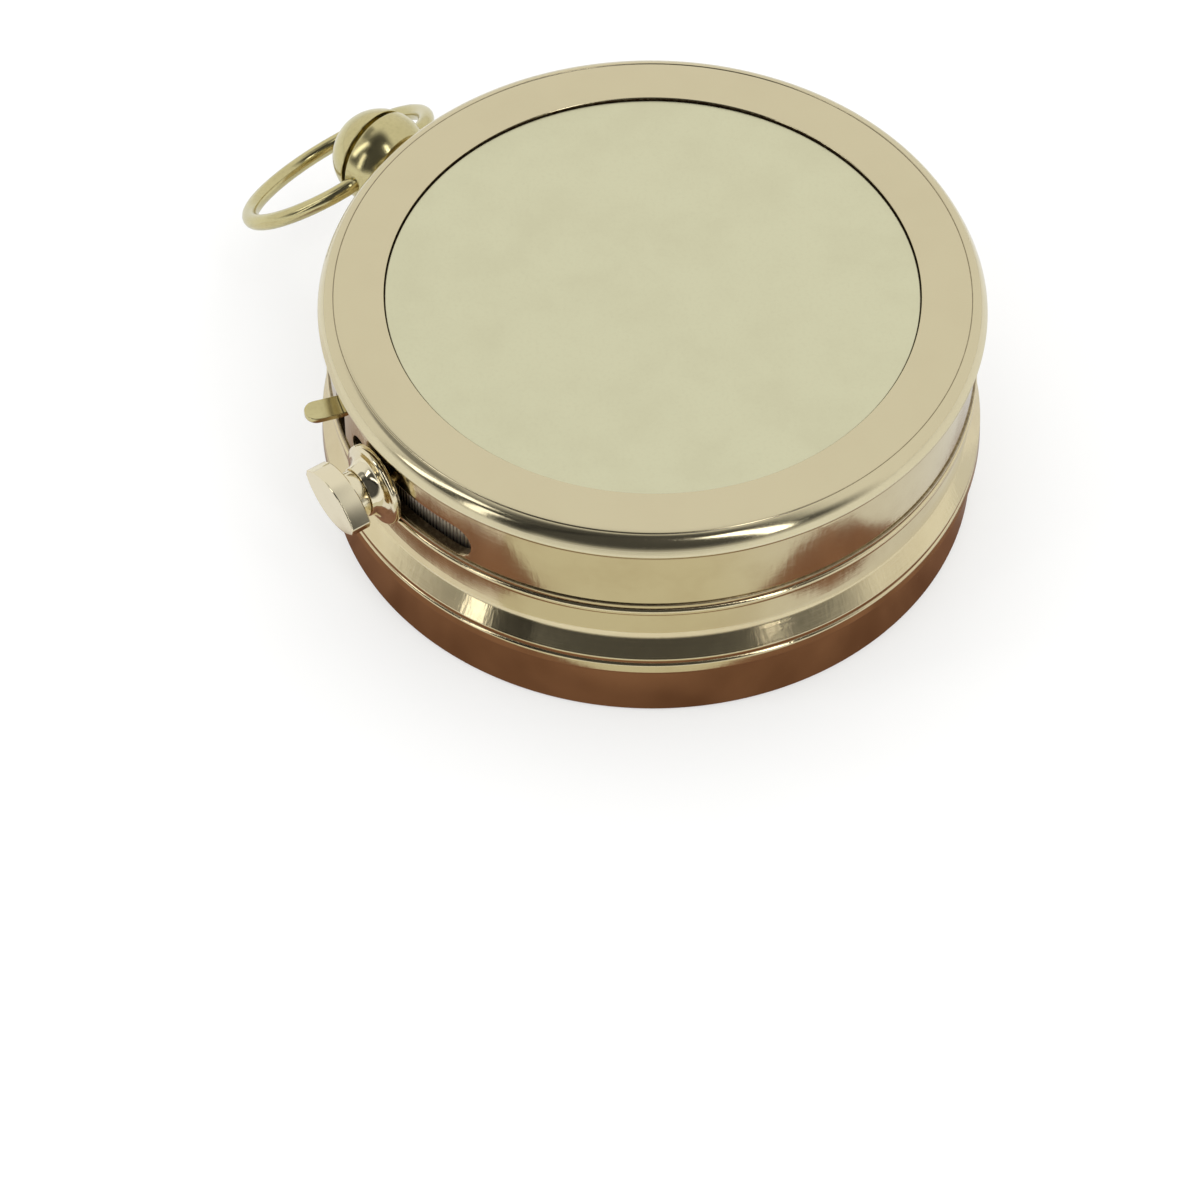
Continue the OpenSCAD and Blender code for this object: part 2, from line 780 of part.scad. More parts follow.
// The hinge's pin
module hinge_pin() {
    color("steelblue") towards(hinge_az) translate([hinge_s, 0, hinge_z]) cross_rod(hinge_pin_r, hinge_len);
}

// The stud that joins the pendant to the wall
module pendant_stud() {
    color("gray") towards(pendant_az, pendant_z)
        radial_rod(pendant_stud_r, bore_r + pendant_stud_inset, pendant_stud_s1);
}

// The collar between the wall and the ball
module pendant_collar() {
    color("wheat")
    difference() {
        towards(pendant_az, pendant_z) radial_rod(collar_out_r, bore_r, collar_s1);
        towards(pendant_az, pendant_z) radial_rod(pendant_stud_r + run_fit, bore_r - over, collar_s1 + over);
        translate([0, 0, joint_z]) cylinder(r = body_r + run_fit / 2, h = top_z);
    }
}

// The ball, bored across for the bail
module pendant_ball() {
    color("darkkhaki")
    towards(pendant_az, pendant_z) difference() {
        translate([ball_s, 0, 0]) sphere(r = ball_r);
        radial_rod(2 * ball_r, ball_s - 2 * ball_r, collar_s1);
        radial_rod(2 * ball_r, ball_groove_s, ball_s + 2 * ball_r);
        radial_rod(pendant_stud_r + run_fit, collar_s1 - over, pendant_stud_s1 + run_fit);
        translate([bail_s, 0, 0]) cross_rod(bail_hole_r, 2 * ball_r + 2 * over);
    }
}

// The domed cap behind the ball's groove
module pendant_cap() {
    color("olivedrab")
    towards(pendant_az, pendant_z) rotate([0, 90, 0]) rotate_extrude() {
        translate([0, ball_groove_s]) square([ball_groove_r, ball_groove_w + run_fit]);
        intersection() {
            translate([0, ball_s]) circle(r = ball_r);
            translate([0, ball_groove_s + ball_groove_w]) square([ball_r, 2 * ball_r]);
        }
    }
}

// The bail, hung from the ball; its own plane holds the pin and the loop
module ring_bail() {
    color("darkkhaki")
    towards(pendant_az, pendant_z) translate([bail_s, 0, 0]) rotate([0, bail_droop, 0]) rotate([0, 0, -90]) {
        rotate([0, 90, 0]) cylinder(r = bail_wire_r, h = 2 * bail_pin_half, center = true, $fn = 48);
        for (side = [-1, 1]) translate([side * bail_pin_half, 0, 0]) sphere(r = bail_corner_r, $fn = 48);
        translate([0, bail_mid, 0]) rotate([0, 0, bail_corner_az]) rotate_extrude(angle = 180 - 2 * bail_corner_az)
            translate([bail_r, 0]) circle(r = bail_wire_r, $fn = 48);
    }
}

case_base();
case_body();
plate_pillars();
movement_plate();
plate_screws();
ring_seat();
variation_ring();
degree_ring();
clamp_stud();
clamp_washer();
clamp_thumb();
pivot_post();
post_nut();
pivot_needle();
lift_collar();
card_disc();
card_hub();
cap_jewel();
card_magnets();
balance_weight();
card_lifter();
lifter_bracket();
lifter_pin();
bracket_screws();
glass_gasket();
glass();
glass_bezel();
index_point();
lid_ring();
lid_plate();
hinge_pin();
pendant_stud();
pendant_collar();
pendant_ball();
pendant_cap();
ring_bail();
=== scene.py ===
# %% [markdown]
# # A brass pocket compass
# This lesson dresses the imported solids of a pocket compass: a drum case with a hinged lid, a clamp that
# holds a variation ring, a lifter for the card, and a ball pendant with its bail. The solids already have
# the right sizes and joints. What is added here is what a camera sees close up: turned edges, polish,
# knurling, engraved scales, glass and light.

import math

import bmesh
import bpy
from mathutils import Matrix, Vector


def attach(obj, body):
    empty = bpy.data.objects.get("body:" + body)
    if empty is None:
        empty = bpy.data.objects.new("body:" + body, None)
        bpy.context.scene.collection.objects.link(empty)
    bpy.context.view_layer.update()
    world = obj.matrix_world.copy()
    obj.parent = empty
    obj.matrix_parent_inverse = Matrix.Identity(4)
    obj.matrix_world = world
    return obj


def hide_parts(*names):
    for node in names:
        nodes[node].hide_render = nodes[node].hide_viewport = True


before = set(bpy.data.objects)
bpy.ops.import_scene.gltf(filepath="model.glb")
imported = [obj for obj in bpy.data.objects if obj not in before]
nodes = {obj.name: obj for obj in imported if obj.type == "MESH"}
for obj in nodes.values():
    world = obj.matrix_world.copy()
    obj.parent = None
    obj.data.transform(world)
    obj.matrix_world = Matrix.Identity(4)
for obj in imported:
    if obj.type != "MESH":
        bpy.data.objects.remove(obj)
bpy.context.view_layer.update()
MM = 0.001
print("solids:", len(nodes))

# %% [markdown]
# ## Sizes
# The same levels and radii as the solids have, in millimetres. A name that ends in R is a radius, Z a
# height, S a distance out from the case's axis, T a thickness and AZ a direction in degrees. Each new piece
# stays in the space of the solid that it stands for, so it needs the numbers only once, here.

# %% Sizes of the case and lid
WALL_R, BORE_R, CUP_R, CUP_IN_R = 36.6, 35.4, 37.1, 33.9
FLOOR_Z, PLAIN_Z, JOINT_Z, COLLAR_Z = 1.6, 7.2, 9.0, 13.8
NECK_Z, RIM_Z, WALL_Z, SEAM_Z, TOP_Z = 14.9, 16.2, 18.1, 26.0, 29.0
MOULDING_R, LIP_R, NECK_R, RIM_R = 37.9, 37.75, 35.65, WALL_R + 0.35
PLATE_R, GROOVE_R, RING_R = 30.0, 35.7, 35.2
WINDOW_Z, WINDOW_H, WINDOW_FIRST, WINDOW_LAST = 18.3, 4.5, 208.0, 233.5
WINDOW_TOP_Z = WINDOW_Z + WINDOW_H
HINGE_AZ, HINGE_S, HINGE_Z, HINGE_LEN = 35.0, 36.996, 24.999, 12.0
CLAMP_AZ, LIFTER_AZ, PENDANT_AZ = 215.0, 198.0, 138.5
PENDANT_Z, BALL_S, BALL_R, BAIL_S = 21.6, 42.0, 5.6, 41.35
CIRCLE = 2 * math.pi
print("case", 2 * CUP_R, "mm across and", TOP_Z, "mm high")

# %% [markdown]
# ## Small helpers
# Almost every piece of a compass comes off a lathe. The tool that suits this is the spin: a closed outline
# is drawn in the plane through the axis, its corners are rounded with a vertex bevel, the filled face is
# dropped and the outline is swept around. Rounding before the sweep keeps every edge soft, and soft edges
# are what catch the light on polished metal. A point of an outline is (radius, height), and a third number
# rounds that corner.

# %% Lathe outlines
ROUNDING_STEPS, LARGE_ROUNDING = 4, 0.5


def outline(points):
    """A closed outline in the x-z plane, with its corners rounded."""
    bm = bmesh.new()
    verts = [bm.verts.new((p[0], 0, p[1])) for p in points]
    bm.faces.new(verts)
    soft = {}
    for vert, p in zip(verts, points):
        if len(p) > 2:
            soft.setdefault(p[2], []).append(vert)
    for rounding, group in soft.items():
        steps = ROUNDING_STEPS * (3 if rounding >= LARGE_ROUNDING else 1)
        bmesh.ops.bevel(bm, geom=group, offset=rounding, offset_type="OFFSET", segments=steps,
                        profile=0.5, affect="VERTICES", material=-1)
    bmesh.ops.delete(bm, geom=bm.faces[:], context="FACES_ONLY")
    return bm


def turned(points, steps=240, angle=CIRCLE, start=0.0):
    """A solid of revolution about z from a closed outline, in millimetres."""
    bm = outline(points)
    whole = angle == CIRCLE
    if start:
        bmesh.ops.rotate(bm, verts=bm.verts[:], cent=(0, 0, 0), matrix=Matrix.Rotation(start, 3, "Z"))
    bmesh.ops.spin(bm, geom=bm.verts[:] + bm.edges[:], cent=(0, 0, 0), axis=(0, 0, 1), angle=angle,
                   steps=steps, use_merge=whole, use_duplicate=False)
    bmesh.ops.remove_doubles(bm, verts=bm.verts[:], dist=1e-4)
    if not whole:
        ends = [e for e in bm.edges if e.is_boundary]
        bmesh.ops.holes_fill(bm, edges=ends, sides=0)
    return bm


print("a rounded corner has", ROUNDING_STEPS, "steps")

# %% [markdown]
# A few pieces are sawn or filed from plate. Their outline is one face, drawn out along a straight line, and
# then the sharp edges are broken with a small bevel, as a file would do.

# %% Plate work
def drawn_out(bm, corners, way):
    """One face from its corners, extruded along a vector."""
    face = bm.faces.new([bm.verts.new(corner) for corner in corners])
    grown = bmesh.ops.extrude_face_region(bm, geom=[face], use_keep_orig=True)
    bmesh.ops.translate(bm, vec=way, verts=[v for v in grown["geom"] if isinstance(v, bmesh.types.BMVert)])


def plate_piece(corners, way):
    bm = bmesh.new()
    drawn_out(bm, corners, way)
    bmesh.ops.recalc_face_normals(bm, faces=bm.faces[:])
    return bm


def soften(bm, offset, segments=2, least=40):
    """Bevel all edges that turn by more than an angle in degrees."""
    sharp = [e for e in bm.edges if e.calc_face_angle(0.0) > math.radians(least)]
    bmesh.ops.bevel(bm, geom=sharp, offset=offset, offset_type="OFFSET", segments=segments, profile=0.5,
                    affect="EDGES", material=-1)
    return bm


def joined(*parts):
    """One bmesh that holds several."""
    whole = bmesh.new()
    for part in parts:
        spare = bpy.data.meshes.new("spare")
        part.to_mesh(spare)
        whole.from_mesh(spare)
        bpy.data.meshes.remove(spare)
    return whole


print("plate helpers ready")

# %% [markdown]
# A finished piece is one object at the origin, with its place in its mesh. The next helper places a mesh
# that was made in millimetres about its own axis, points its faces outwards, marks its sharp edges, and
# lets it ride on its body.

# %% Finish and place a piece
def radial(az, z=0.0):
    """The frame whose z axis runs outward at a direction around the case, and whose x axis points down."""
    return (Matrix.Rotation(math.radians(az), 4, "Z") @ Matrix.Translation((0, 0, z))
            @ Matrix.Rotation(math.pi / 2, 4, "Y"))


def piece(name, bm, body, slot=None, replaces=(), place=None, sharp=32.0, outward=True):
    """Edges that turn by less than sharp, in degrees, are shaded smooth."""
    if place is not None:
        bm.transform(place)
    bm.transform(Matrix.Scale(MM, 4))
    if outward:
        bmesh.ops.recalc_face_normals(bm, faces=bm.faces[:])
    for face in bm.faces:
        face.smooth = True
    for edge in bm.edges:
        edge.smooth = len(edge.link_faces) == 2 and edge.calc_face_angle(0.0) < math.radians(sharp)
    mesh = bpy.data.meshes.new(name)
    bm.to_mesh(mesh)
    bm.free()
    made = bpy.data.objects.new(name, mesh)
    bpy.context.scene.collection.objects.link(made)
    level = made.modifiers.new("flat faces stay flat", "WEIGHTED_NORMAL")
    level.keep_sharp = True
    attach(made, body)
    if slot:
        made.data.materials.append(finish[slot])
    if replaces:
        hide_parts(*replaces)
    print(f"{name}: {len(mesh.polygons)} faces")
    return made


print("the clamp stands at", CLAMP_AZ, "degrees and the pendant at", PENDANT_AZ)

# %% [markdown]
# ## Shader arithmetic
# A material is easier to read as a formula than as a web of nodes. This class wraps a socket and gives it
# the operators used here, so that 1 - mask or a * b adds the right Math node.

# %% A socket that can be calculated with
class Val:
    def __init__(self, paint, socket):
        self.paint, self.socket = paint, socket

    def math(self, operation, *others):
        return self.paint.node("ShaderNodeMath", {"operation": operation}, dict(enumerate([self, *others])))

    def __add__(self, other): return self.math("ADD", other)
    def __radd__(self, other): return self.math("ADD", other)
    def __sub__(self, other): return self.math("SUBTRACT", other)
    def __rsub__(self, other): return self.paint.number("SUBTRACT", other, self)
    def __mul__(self, other): return self.math("MULTIPLY", other)
    def __rmul__(self, other): return self.math("MULTIPLY", other)
    def above(self, edge): return self.math("GREATER_THAN", edge)
    def below(self, edge): return self.math("LESS_THAN", edge)

    def band(self, low, high, soft):
        """1 between two values and 0 outside them, with soft edges."""
        rise = self.paint.ramp(self, low - soft, low)
        return rise * (1 - self.paint.ramp(self, high, high + soft))


print("sockets can be added, subtracted and multiplied")

# %% [markdown]
# The second class is one material. Its node method makes any kind of node: settings go on the node, values
# go into its inputs, and a value may be a number, a colour or another socket.

# %% One material
class Paint:
    def __init__(self, name, tree=None, shader="Principled BSDF", **fixed):
        if tree is None:
            self.material = bpy.data.materials.new(name)
            self.material.use_nodes = True
            tree = self.material.node_tree
        self.tree, self.shader = tree, tree.nodes[shader]
        for key, value in fixed.items():
            self.set(key.replace("_", " ").title().replace("Ior", "IOR"), value)

    def put(self, socket, value):
        if isinstance(value, Val):
            self.tree.links.new(value.socket, socket)
        else:
            socket.default_value = value

    def set(self, name, value):
        self.put(self.shader.inputs[name], value)

    def node(self, kind, settings=None, values=None, output=0):
        """One node, as its output, or as a list of outputs where a tuple of them is asked for."""
        made = self.tree.nodes.new(kind)
        for key, value in (settings or {}).items():
            setattr(made, key, value)
        for key, value in (values or {}).items():
            self.put(made.inputs[key], value)
        if isinstance(output, tuple):
            return [Val(self, made.outputs[key]) for key in output]
        return Val(self, made.outputs[output])

    def number(self, operation, first, second):
        return self.node("ShaderNodeMath", {"operation": operation}, {0: first, 1: second})

    def ramp(self, value, low, high):
        """0 below low and 1 above high, smooth between them."""
        return self.node("ShaderNodeMapRange", {"interpolation_type": "SMOOTHSTEP"},
                         {"Value": value, "From Min": low, "From Max": high})

    def mix(self, factor, first, second):
        return self.node("ShaderNodeMix", {"data_type": "RGBA"}, {"Factor": factor, 6: first, 7: second}, 2)

    def place(self):
        """The point on the piece in millimetres, as a vector."""
        here = self.node("ShaderNodeTexCoord", output=3)
        return self.node("ShaderNodeVectorMath", {"operation": "SCALE"}, {0: here, "Scale": 1 / MM})

    def split(self, vector):
        return self.node("ShaderNodeSeparateXYZ", None, {0: vector}, (0, 1, 2))

    def vector(self, x, y, z):
        return self.node("ShaderNodeCombineXYZ", None, {0: x, 1: y, 2: z})

    def noise(self, vector, scale, detail=2.0, rough=0.5):
        return self.node("ShaderNodeTexNoise", {"noise_dimensions": "3D"},
                         {"Vector": vector, "Scale": scale, "Detail": detail, "Roughness": rough})

    def bump(self, height, strength, distance=0.01):
        """A Bump node on the shader's normal; the distance is in millimetres."""
        values = {"Strength": strength, "Distance": distance * MM, "Height": height}
        self.set("Normal", self.node("ShaderNodeBump", None, values))


print("shader helpers ready")

# %% [markdown]
# ## Brass
# The whole case is one alloy, a pale champagne brass, and it looks different only through its finish. Turned
# and buffed metal keeps very fine rings around the lathe's axis. They are noise that is stretched along the
# ring: it reads the radius and the height closely and the angle hardly at all. Chatter is the other way
# round, faint upright ripples where the tool trembled, so it reads the angle closely. Low cloudy noise takes
# the colour down a little, and roughness follows it. One dark tone goes into grooves, joints and corners:
# old polish where no cloth reaches, and painted shade in recesses, openings and between teeth. A function
# of the radius and the height gives its place.

# %% One brass from its finish
# One dark tone is old polish in joints and grooves and painted shade in recesses and openings.
RESIDUE_AND_SHADE_TONE = (0.075, 0.042, 0.022, 1)
HAZE, RESIDUE_AND_SHADE_ROUGH, RING_BUMP = 0.05, 0.3, 0.004


def brass(name, colour, dull, rough=0.1, rings=0.35, cloud=0.1, mottle=0.0, chatter=0.0, residue_and_shade=None):
    paint = Paint(name, metallic=1.0)
    spot = paint.place()
    x, y, z = paint.split(spot)
    radius = (x * x + y * y).math("SQRT")
    angle = paint.number("ARCTAN2", y, x)
    fine = paint.noise(paint.vector(radius * 9.0, z * 9.0, angle * 1.2), 1.0, 3.0, 0.6)
    broad = paint.noise(paint.vector(radius * 1.6, z * 1.6, angle * 2.5), 1.0, 2.0)
    clouds = paint.noise(spot, 0.16, 4.0, 0.55)
    specks = paint.noise(spot, 2.3, 3.0, 0.6)
    tone = paint.mix(paint.ramp(clouds, 0.35, 0.75) * cloud * 4.0, (*colour, 1), (*dull, 1))
    if mottle:
        tone = paint.mix(paint.ramp(specks, 0.45, 0.7) * mottle, tone, (*dull, 1))
    surface = rough + HAZE * (fine + clouds - 1.0) + HAZE * paint.ramp(specks, 0.6, 0.75)
    if residue_and_shade:
        # The dark tone goes where the places function says: old polish in some places, painted shade in
        # others.
        residue_and_shade_mask = residue_and_shade(radius, z) * (0.75 + 0.25 * paint.ramp(specks, 0.3, 0.6))
        tone = paint.mix(residue_and_shade_mask, tone, RESIDUE_AND_SHADE_TONE)
        surface = surface + residue_and_shade_mask * RESIDUE_AND_SHADE_ROUGH
    paint.set("Base Color", tone)
    paint.set("Roughness", surface)
    height = fine + broad * 0.6
    if chatter:
        ripples = paint.noise(paint.vector(radius * 0.4, z * 0.4, angle * 70.0), 1.0, 2.0)
        height = height + chatter * ripples
    paint.bump(height, rings, RING_BUMP)
    return paint.material


print("residue adds a roughness of", RESIDUE_AND_SHADE_ROUGH)

# %% [markdown]
# The places of the dark tone are bands of height and radius, taken from the same sizes as the shapes. On the
# case it is old polish in the joint, it is darker under the moulding, under the rim, in the line that parts
# the rim and where the wall rises from the rim, and it is painted shade on the cut edges of the wall and on
# its inner face at the height of the openings. On the lid it is old polish in its fine groove, darker under
# its bead, and painted shade on the step around the inset plate. The plate's own edge and the gaps between
# the knurl's teeth get painted shade too.

# %% Where old polish and painted shade lie
def in_case_grooves(radius, z):
    joint = z.band(JOINT_Z - 0.1, JOINT_Z + 0.06, 0.12) + z.band(PLAIN_Z - 0.08, PLAIN_Z, 0.1)
    under_rim = z.band(RIM_Z - 0.1, RIM_Z + 0.02, 0.12)
    in_rim = z.band(RIM_Z + 1.1, RIM_Z + 1.26, 0.08) + z.band(WALL_Z - 0.1, WALL_Z + 0.02, 0.1) * 0.7
    # The cut edges of the openings and the wall's inner face at their height are painted darker: painted
    # shade.
    behind_wall = 1 - radius.paint.ramp(radius, WALL_R - 0.3, WALL_R - 0.1)
    cut = z.band(WINDOW_Z - 0.05, WINDOW_TOP_Z + 0.1, 0.05) * behind_wall
    return joint + (under_rim + in_rim) + cut * 0.85


def in_lid_grooves(radius, z):
    under_bead = z.band(SEAM_Z + 0.46, SEAM_Z + 0.56, 0.1)
    # The step around the inset plate is painted darker: painted shade in the recess.
    around_plate = radius.band(PLATE_R - 0.1, PLATE_R + 0.08, 0.02) * z.below(TOP_Z - 0.07)
    in_groove = radius.band(GROOVE_R - 0.02, GROOVE_R + 0.03, 0.06) * z.above(TOP_Z - 1.0) * 0.6
    return under_bead + around_plate + in_groove


def at_plate_edge(radius, z):
    # The plate's outer edge is painted darker: painted shade at its seam.
    return radius.paint.ramp(radius, PLATE_R - 0.2, PLATE_R - 0.08) * 0.45


def between_teeth(radius, z):
    # The gaps between the knurl's teeth are painted darker: painted shade.
    return radius.band(RING_R - 0.3, RING_R - 0.13, 0.06) * 0.9


print("residue lies in four kinds of grooves")

# %% Brass finishes
finish = {
    "case_brass": brass("case_brass", (0.69, 0.59, 0.37), (0.56, 0.45, 0.26), rough=0.115, rings=0.6,
                        chatter=5.0, residue_and_shade=in_case_grooves),
    "lid_brass": brass("lid_brass", (0.66, 0.585, 0.385), (0.61, 0.53, 0.345), rough=0.14, rings=0.5,
                       chatter=1.5, cloud=0.06, residue_and_shade=in_lid_grooves),
    "plate_brass": brass("plate_brass", (0.70, 0.68, 0.465), (0.64, 0.61, 0.41), rough=0.32, rings=0.1,
                         mottle=0.25, residue_and_shade=at_plate_edge),
    "olive_brass": brass("olive_brass", (0.60, 0.53, 0.275), (0.44, 0.385, 0.19), rough=0.19, rings=0.1,
                         mottle=0.25),
    "clamp_brass": brass("clamp_brass", (0.78, 0.70, 0.50), (0.62, 0.52, 0.34), rings=0.2),
    "inner_brass": brass("inner_brass", (0.72, 0.58, 0.33), (0.56, 0.42, 0.2), rough=0.22, rings=0.6),
    "dark_brass": brass("dark_brass", (0.74, 0.68, 0.58), (0.42, 0.36, 0.28), rough=0.3, cloud=0.15,
                        residue_and_shade=between_teeth),
    "silvered": brass("silvered", (0.80, 0.80, 0.77), (0.70, 0.69, 0.64), rough=0.36, rings=0.5),
    "steel": brass("steel", (0.56, 0.57, 0.59), (0.42, 0.42, 0.43), rough=0.2, rings=0.3),
    "magnet": brass("magnet", (0.05, 0.06, 0.10), (0.03, 0.03, 0.04), rough=0.35, rings=0.2),
}
print("metal finishes:", *finish)

# %% [markdown]
# ## Card, jewel, rubber and glass
# The other finishes aren't metal. The card is printed paper board, the jewel is a small polished stone and
# the gasket is rubber. The glass is clear, so its shader only transmits: it mirrors at its edges through its
# index of refraction, and a little dust tints it.

# %% Finishes that aren't metal
def board():
    paint = Paint("card", roughness=0.6)
    spot = paint.place()
    fibre = paint.noise(spot, 3.0, 5.0, 0.7)
    age = paint.noise(spot, 0.12, 3.0)
    tone = paint.mix(paint.ramp(age, 0.35, 0.75), (0.86, 0.82, 0.70, 1), (0.78, 0.71, 0.55, 1))
    paint.set("Base Color", paint.mix(paint.ramp(fibre, 0.5, 0.8) * 0.25, tone, (0.62, 0.54, 0.38, 1)))
    paint.bump(fibre, 0.4)
    return paint.material


def print_ink(name, colour):
    paint = Paint(name, roughness=0.55)
    worn = paint.noise(paint.place(), 4.0, 4.0, 0.7)
    pale = tuple(c * 0.7 + 0.1 for c in colour)
    paint.set("Base Color", paint.mix(paint.ramp(worn, 0.55, 0.8) * 0.5, (*colour, 1), (*pale, 1)))
    return paint.material


def red_stone():
    paint = Paint("jewel", roughness=0.08)
    veins = paint.noise(paint.place(), 1.5, 3.0)
    paint.set("Base Color", paint.mix(veins, (0.5, 0.03, 0.05, 1), (0.3, 0.01, 0.03, 1)))
    return paint.material


def rubber():
    paint = Paint("gasket", roughness=0.7)
    grain = paint.noise(paint.place(), 8.0, 3.0)
    paint.set("Base Color", paint.mix(grain, (0.02, 0.02, 0.02, 1), (0.05, 0.05, 0.05, 1)))
    paint.bump(grain, 0.3)
    return paint.material


def clear_glass():
    paint = Paint("glass", roughness=0.02, ior=1.5, transmission_weight=1.0)
    dust = paint.ramp(paint.noise(paint.place(), 0.3, 4.0, 0.6), 0.4, 0.8)
    paint.set("Base Color", paint.mix(dust, (0.97, 0.99, 0.98, 1), (0.93, 0.96, 0.95, 1)))
    return paint.material


finish.update(card=board(), jewel=red_stone(), gasket=rubber(), glass=clear_glass())
ink = print_ink("ink", (0.012, 0.012, 0.014))
red_ink = print_ink("red_ink", (0.42, 0.02, 0.02))
for node in nodes.values():
    slot = node.data.materials[0].name.split(".")[0]
    node.data.materials[0] = finish[slot]
print("solids take one of", len(finish), "finishes by slot")

# %% [markdown]
# ## The lower cup
# The compass stands on a turned cup: a plain wall with a soft lower edge and a half-round moulding at its
# top. Its outline is drawn once and spun.

# %% Lower cup
JOINT_GAP, COLLAR_R = 0.04, BORE_R - 0.1
CUP_TOP_Z = JOINT_Z - JOINT_GAP
cup = turned([
    (0, 0), (CUP_R - 0.1, 0, 0.35), (CUP_R, 0.35), (CUP_R, PLAIN_Z - 0.08, 0.1),
    (CUP_R - 0.12, PLAIN_Z, 0.03), (MOULDING_R, PLAIN_Z, 0.5), (MOULDING_R - 0.2, CUP_TOP_Z, 0.5),
    (CUP_R - 0.3, CUP_TOP_Z, 0.05), (COLLAR_R, CUP_TOP_Z), (COLLAR_R, COLLAR_Z, 0.2),
    (CUP_IN_R, COLLAR_Z, 0.2), (CUP_IN_R, FLOOR_Z, 0.8), (0, FLOOR_Z)])
piece("cup_turned", cup, "case", "case_brass", ["case_base"])

# %% [markdown]
# ## The foot of the upper case
# Above the cup the case has a thin lip, a hollow, a plain neck and a double rim. The hollow is a straight
# cone that is rounded only where it meets the neck. A cone keeps one broad dark band of the room in view,
# where a round hollow would crowd the whole room into itself.

# %% Lip, hollow, neck and double rim
LIP_H, HOLLOW_R, HOLLOW_Z, ROLL_H, LINE_H, EDGE_GAP = 0.7, 36.2, 12.25, 1.1, 0.16, 0.02
LINE_Z, LINE_R, UPPER_RIM_R = RIM_Z + ROLL_H + EDGE_GAP, WALL_R - 0.05, WALL_R + 0.2
lip = [(BORE_R, JOINT_Z), (LIP_R - 0.05, JOINT_Z, 0.22), (LIP_R, JOINT_Z + LIP_H, 0.12)]
hollow = [(HOLLOW_R, HOLLOW_Z, 0.5), (NECK_R, NECK_Z), (NECK_R, RIM_Z, 0.04)]
lower_rim = [(RIM_R, RIM_Z, 0.5), (RIM_R, RIM_Z + ROLL_H, 0.5)]
parting_line = [(LINE_R, LINE_Z, 0.04), (LINE_R, LINE_Z + LINE_H, 0.04)]
upper_rim = [(UPPER_RIM_R, LINE_Z + LINE_H + EDGE_GAP, 0.12), (UPPER_RIM_R, WALL_Z, 0.14), (BORE_R, WALL_Z)]
foot = turned(lip + hollow + lower_rim + parting_line + upper_rim)
piece("case_foot", foot, "case", "case_brass", ["case_body"])

# %% [markdown]
# ## The wall with its openings
# The wall above the rim has a long round-ended window for the clamp, an upright slot for the lifter and a
# hole for the pendant's stud. Holes are easiest to cut while metal is flat, so the wall is drawn unrolled:
# the outline and the holes are filled, cut across at every degree, rolled up, and only then given their
# thickness.

# %% Flat outlines
def loop(bm, points):
    verts = [bm.verts.new((x, 0, z)) for x, z in points]
    return [bm.edges.new(pair) for pair in zip(verts, verts[1:] + verts[:1])]


def arc_points(x, z, radius, first, last, steps):
    """Points on an arc about (x, z), from one angle to another in radians."""
    turn = [first + (last - first) * k / steps for k in range(steps + 1)]
    return [(x + radius * math.cos(t), z + radius * math.sin(t)) for t in turn]


def slot_outline(x0, x1, z0, z1, steps=10):
    """A round-ended hole: its ends are half circles as high as it is."""
    half, mid, quarter = (z1 - z0) / 2, (z0 + z1) / 2, math.pi / 2
    right = arc_points(x1, mid, half, -quarter, quarter, steps)
    return right + arc_points(x0, mid, half, quarter, 3 * quarter, steps)


def box_outline(x0, x1, z0, z1):
    return [(x0, z0), (x1, z0), (x1, z1), (x0, z1)]


DEGREES_PER_MM = math.degrees(1 / WALL_R)


def unrolled(points):
    """Points in millimetres around and up the wall, as degrees and height."""
    return [(x * DEGREES_PER_MM, z) for x, z in points]


print("one millimetre of wall is", round(DEGREES_PER_MM, 3), "degrees")

# %% The rolled wall
WALL_PITCH, WALL_EDGE = 1.0, 0.09


def rolled(patterns, radius, inner):
    """A flat pattern in (degrees, height), cut at every pitch, rolled up and thickened inwards."""
    bm = bmesh.new()
    edges = []
    for points in patterns:
        edges += loop(bm, points)
    bmesh.ops.triangle_fill(bm, edges=edges, use_beauty=True, use_dissolve=False, normal=(0, -1, 0))
    for k in range(1, round(360 / WALL_PITCH)):
        bmesh.ops.bisect_plane(bm, geom=bm.verts[:] + bm.edges[:] + bm.faces[:], dist=1e-5,
                               plane_co=(k * WALL_PITCH, 0, 0), plane_no=(1, 0, 0))
    for vert in bm.verts:
        turn = math.radians(vert.co.x)
        vert.co = (radius * math.cos(turn), radius * math.sin(turn), vert.co.z)
    bmesh.ops.remove_doubles(bm, verts=bm.verts[:], dist=1e-3)
    outer = set(bm.verts)
    grown = bmesh.ops.extrude_face_region(bm, geom=bm.faces[:], use_keep_orig=True)
    for vert in (v for v in grown["geom"] if isinstance(v, bmesh.types.BMVert)):
        vert.co.x *= inner / radius
        vert.co.y *= inner / radius
    rims = [e for e in bm.edges if e.verts[0] in outer and e.verts[1] in outer
            and any(v not in outer for f in e.link_faces for v in f.verts)]
    bmesh.ops.recalc_face_normals(bm, faces=bm.faces[:])
    bmesh.ops.bevel(bm, geom=rims, offset=WALL_EDGE, offset_type="OFFSET", segments=2, profile=0.5,
                    affect="EDGES", material=-1, clamp_overlap=True)
    return bm


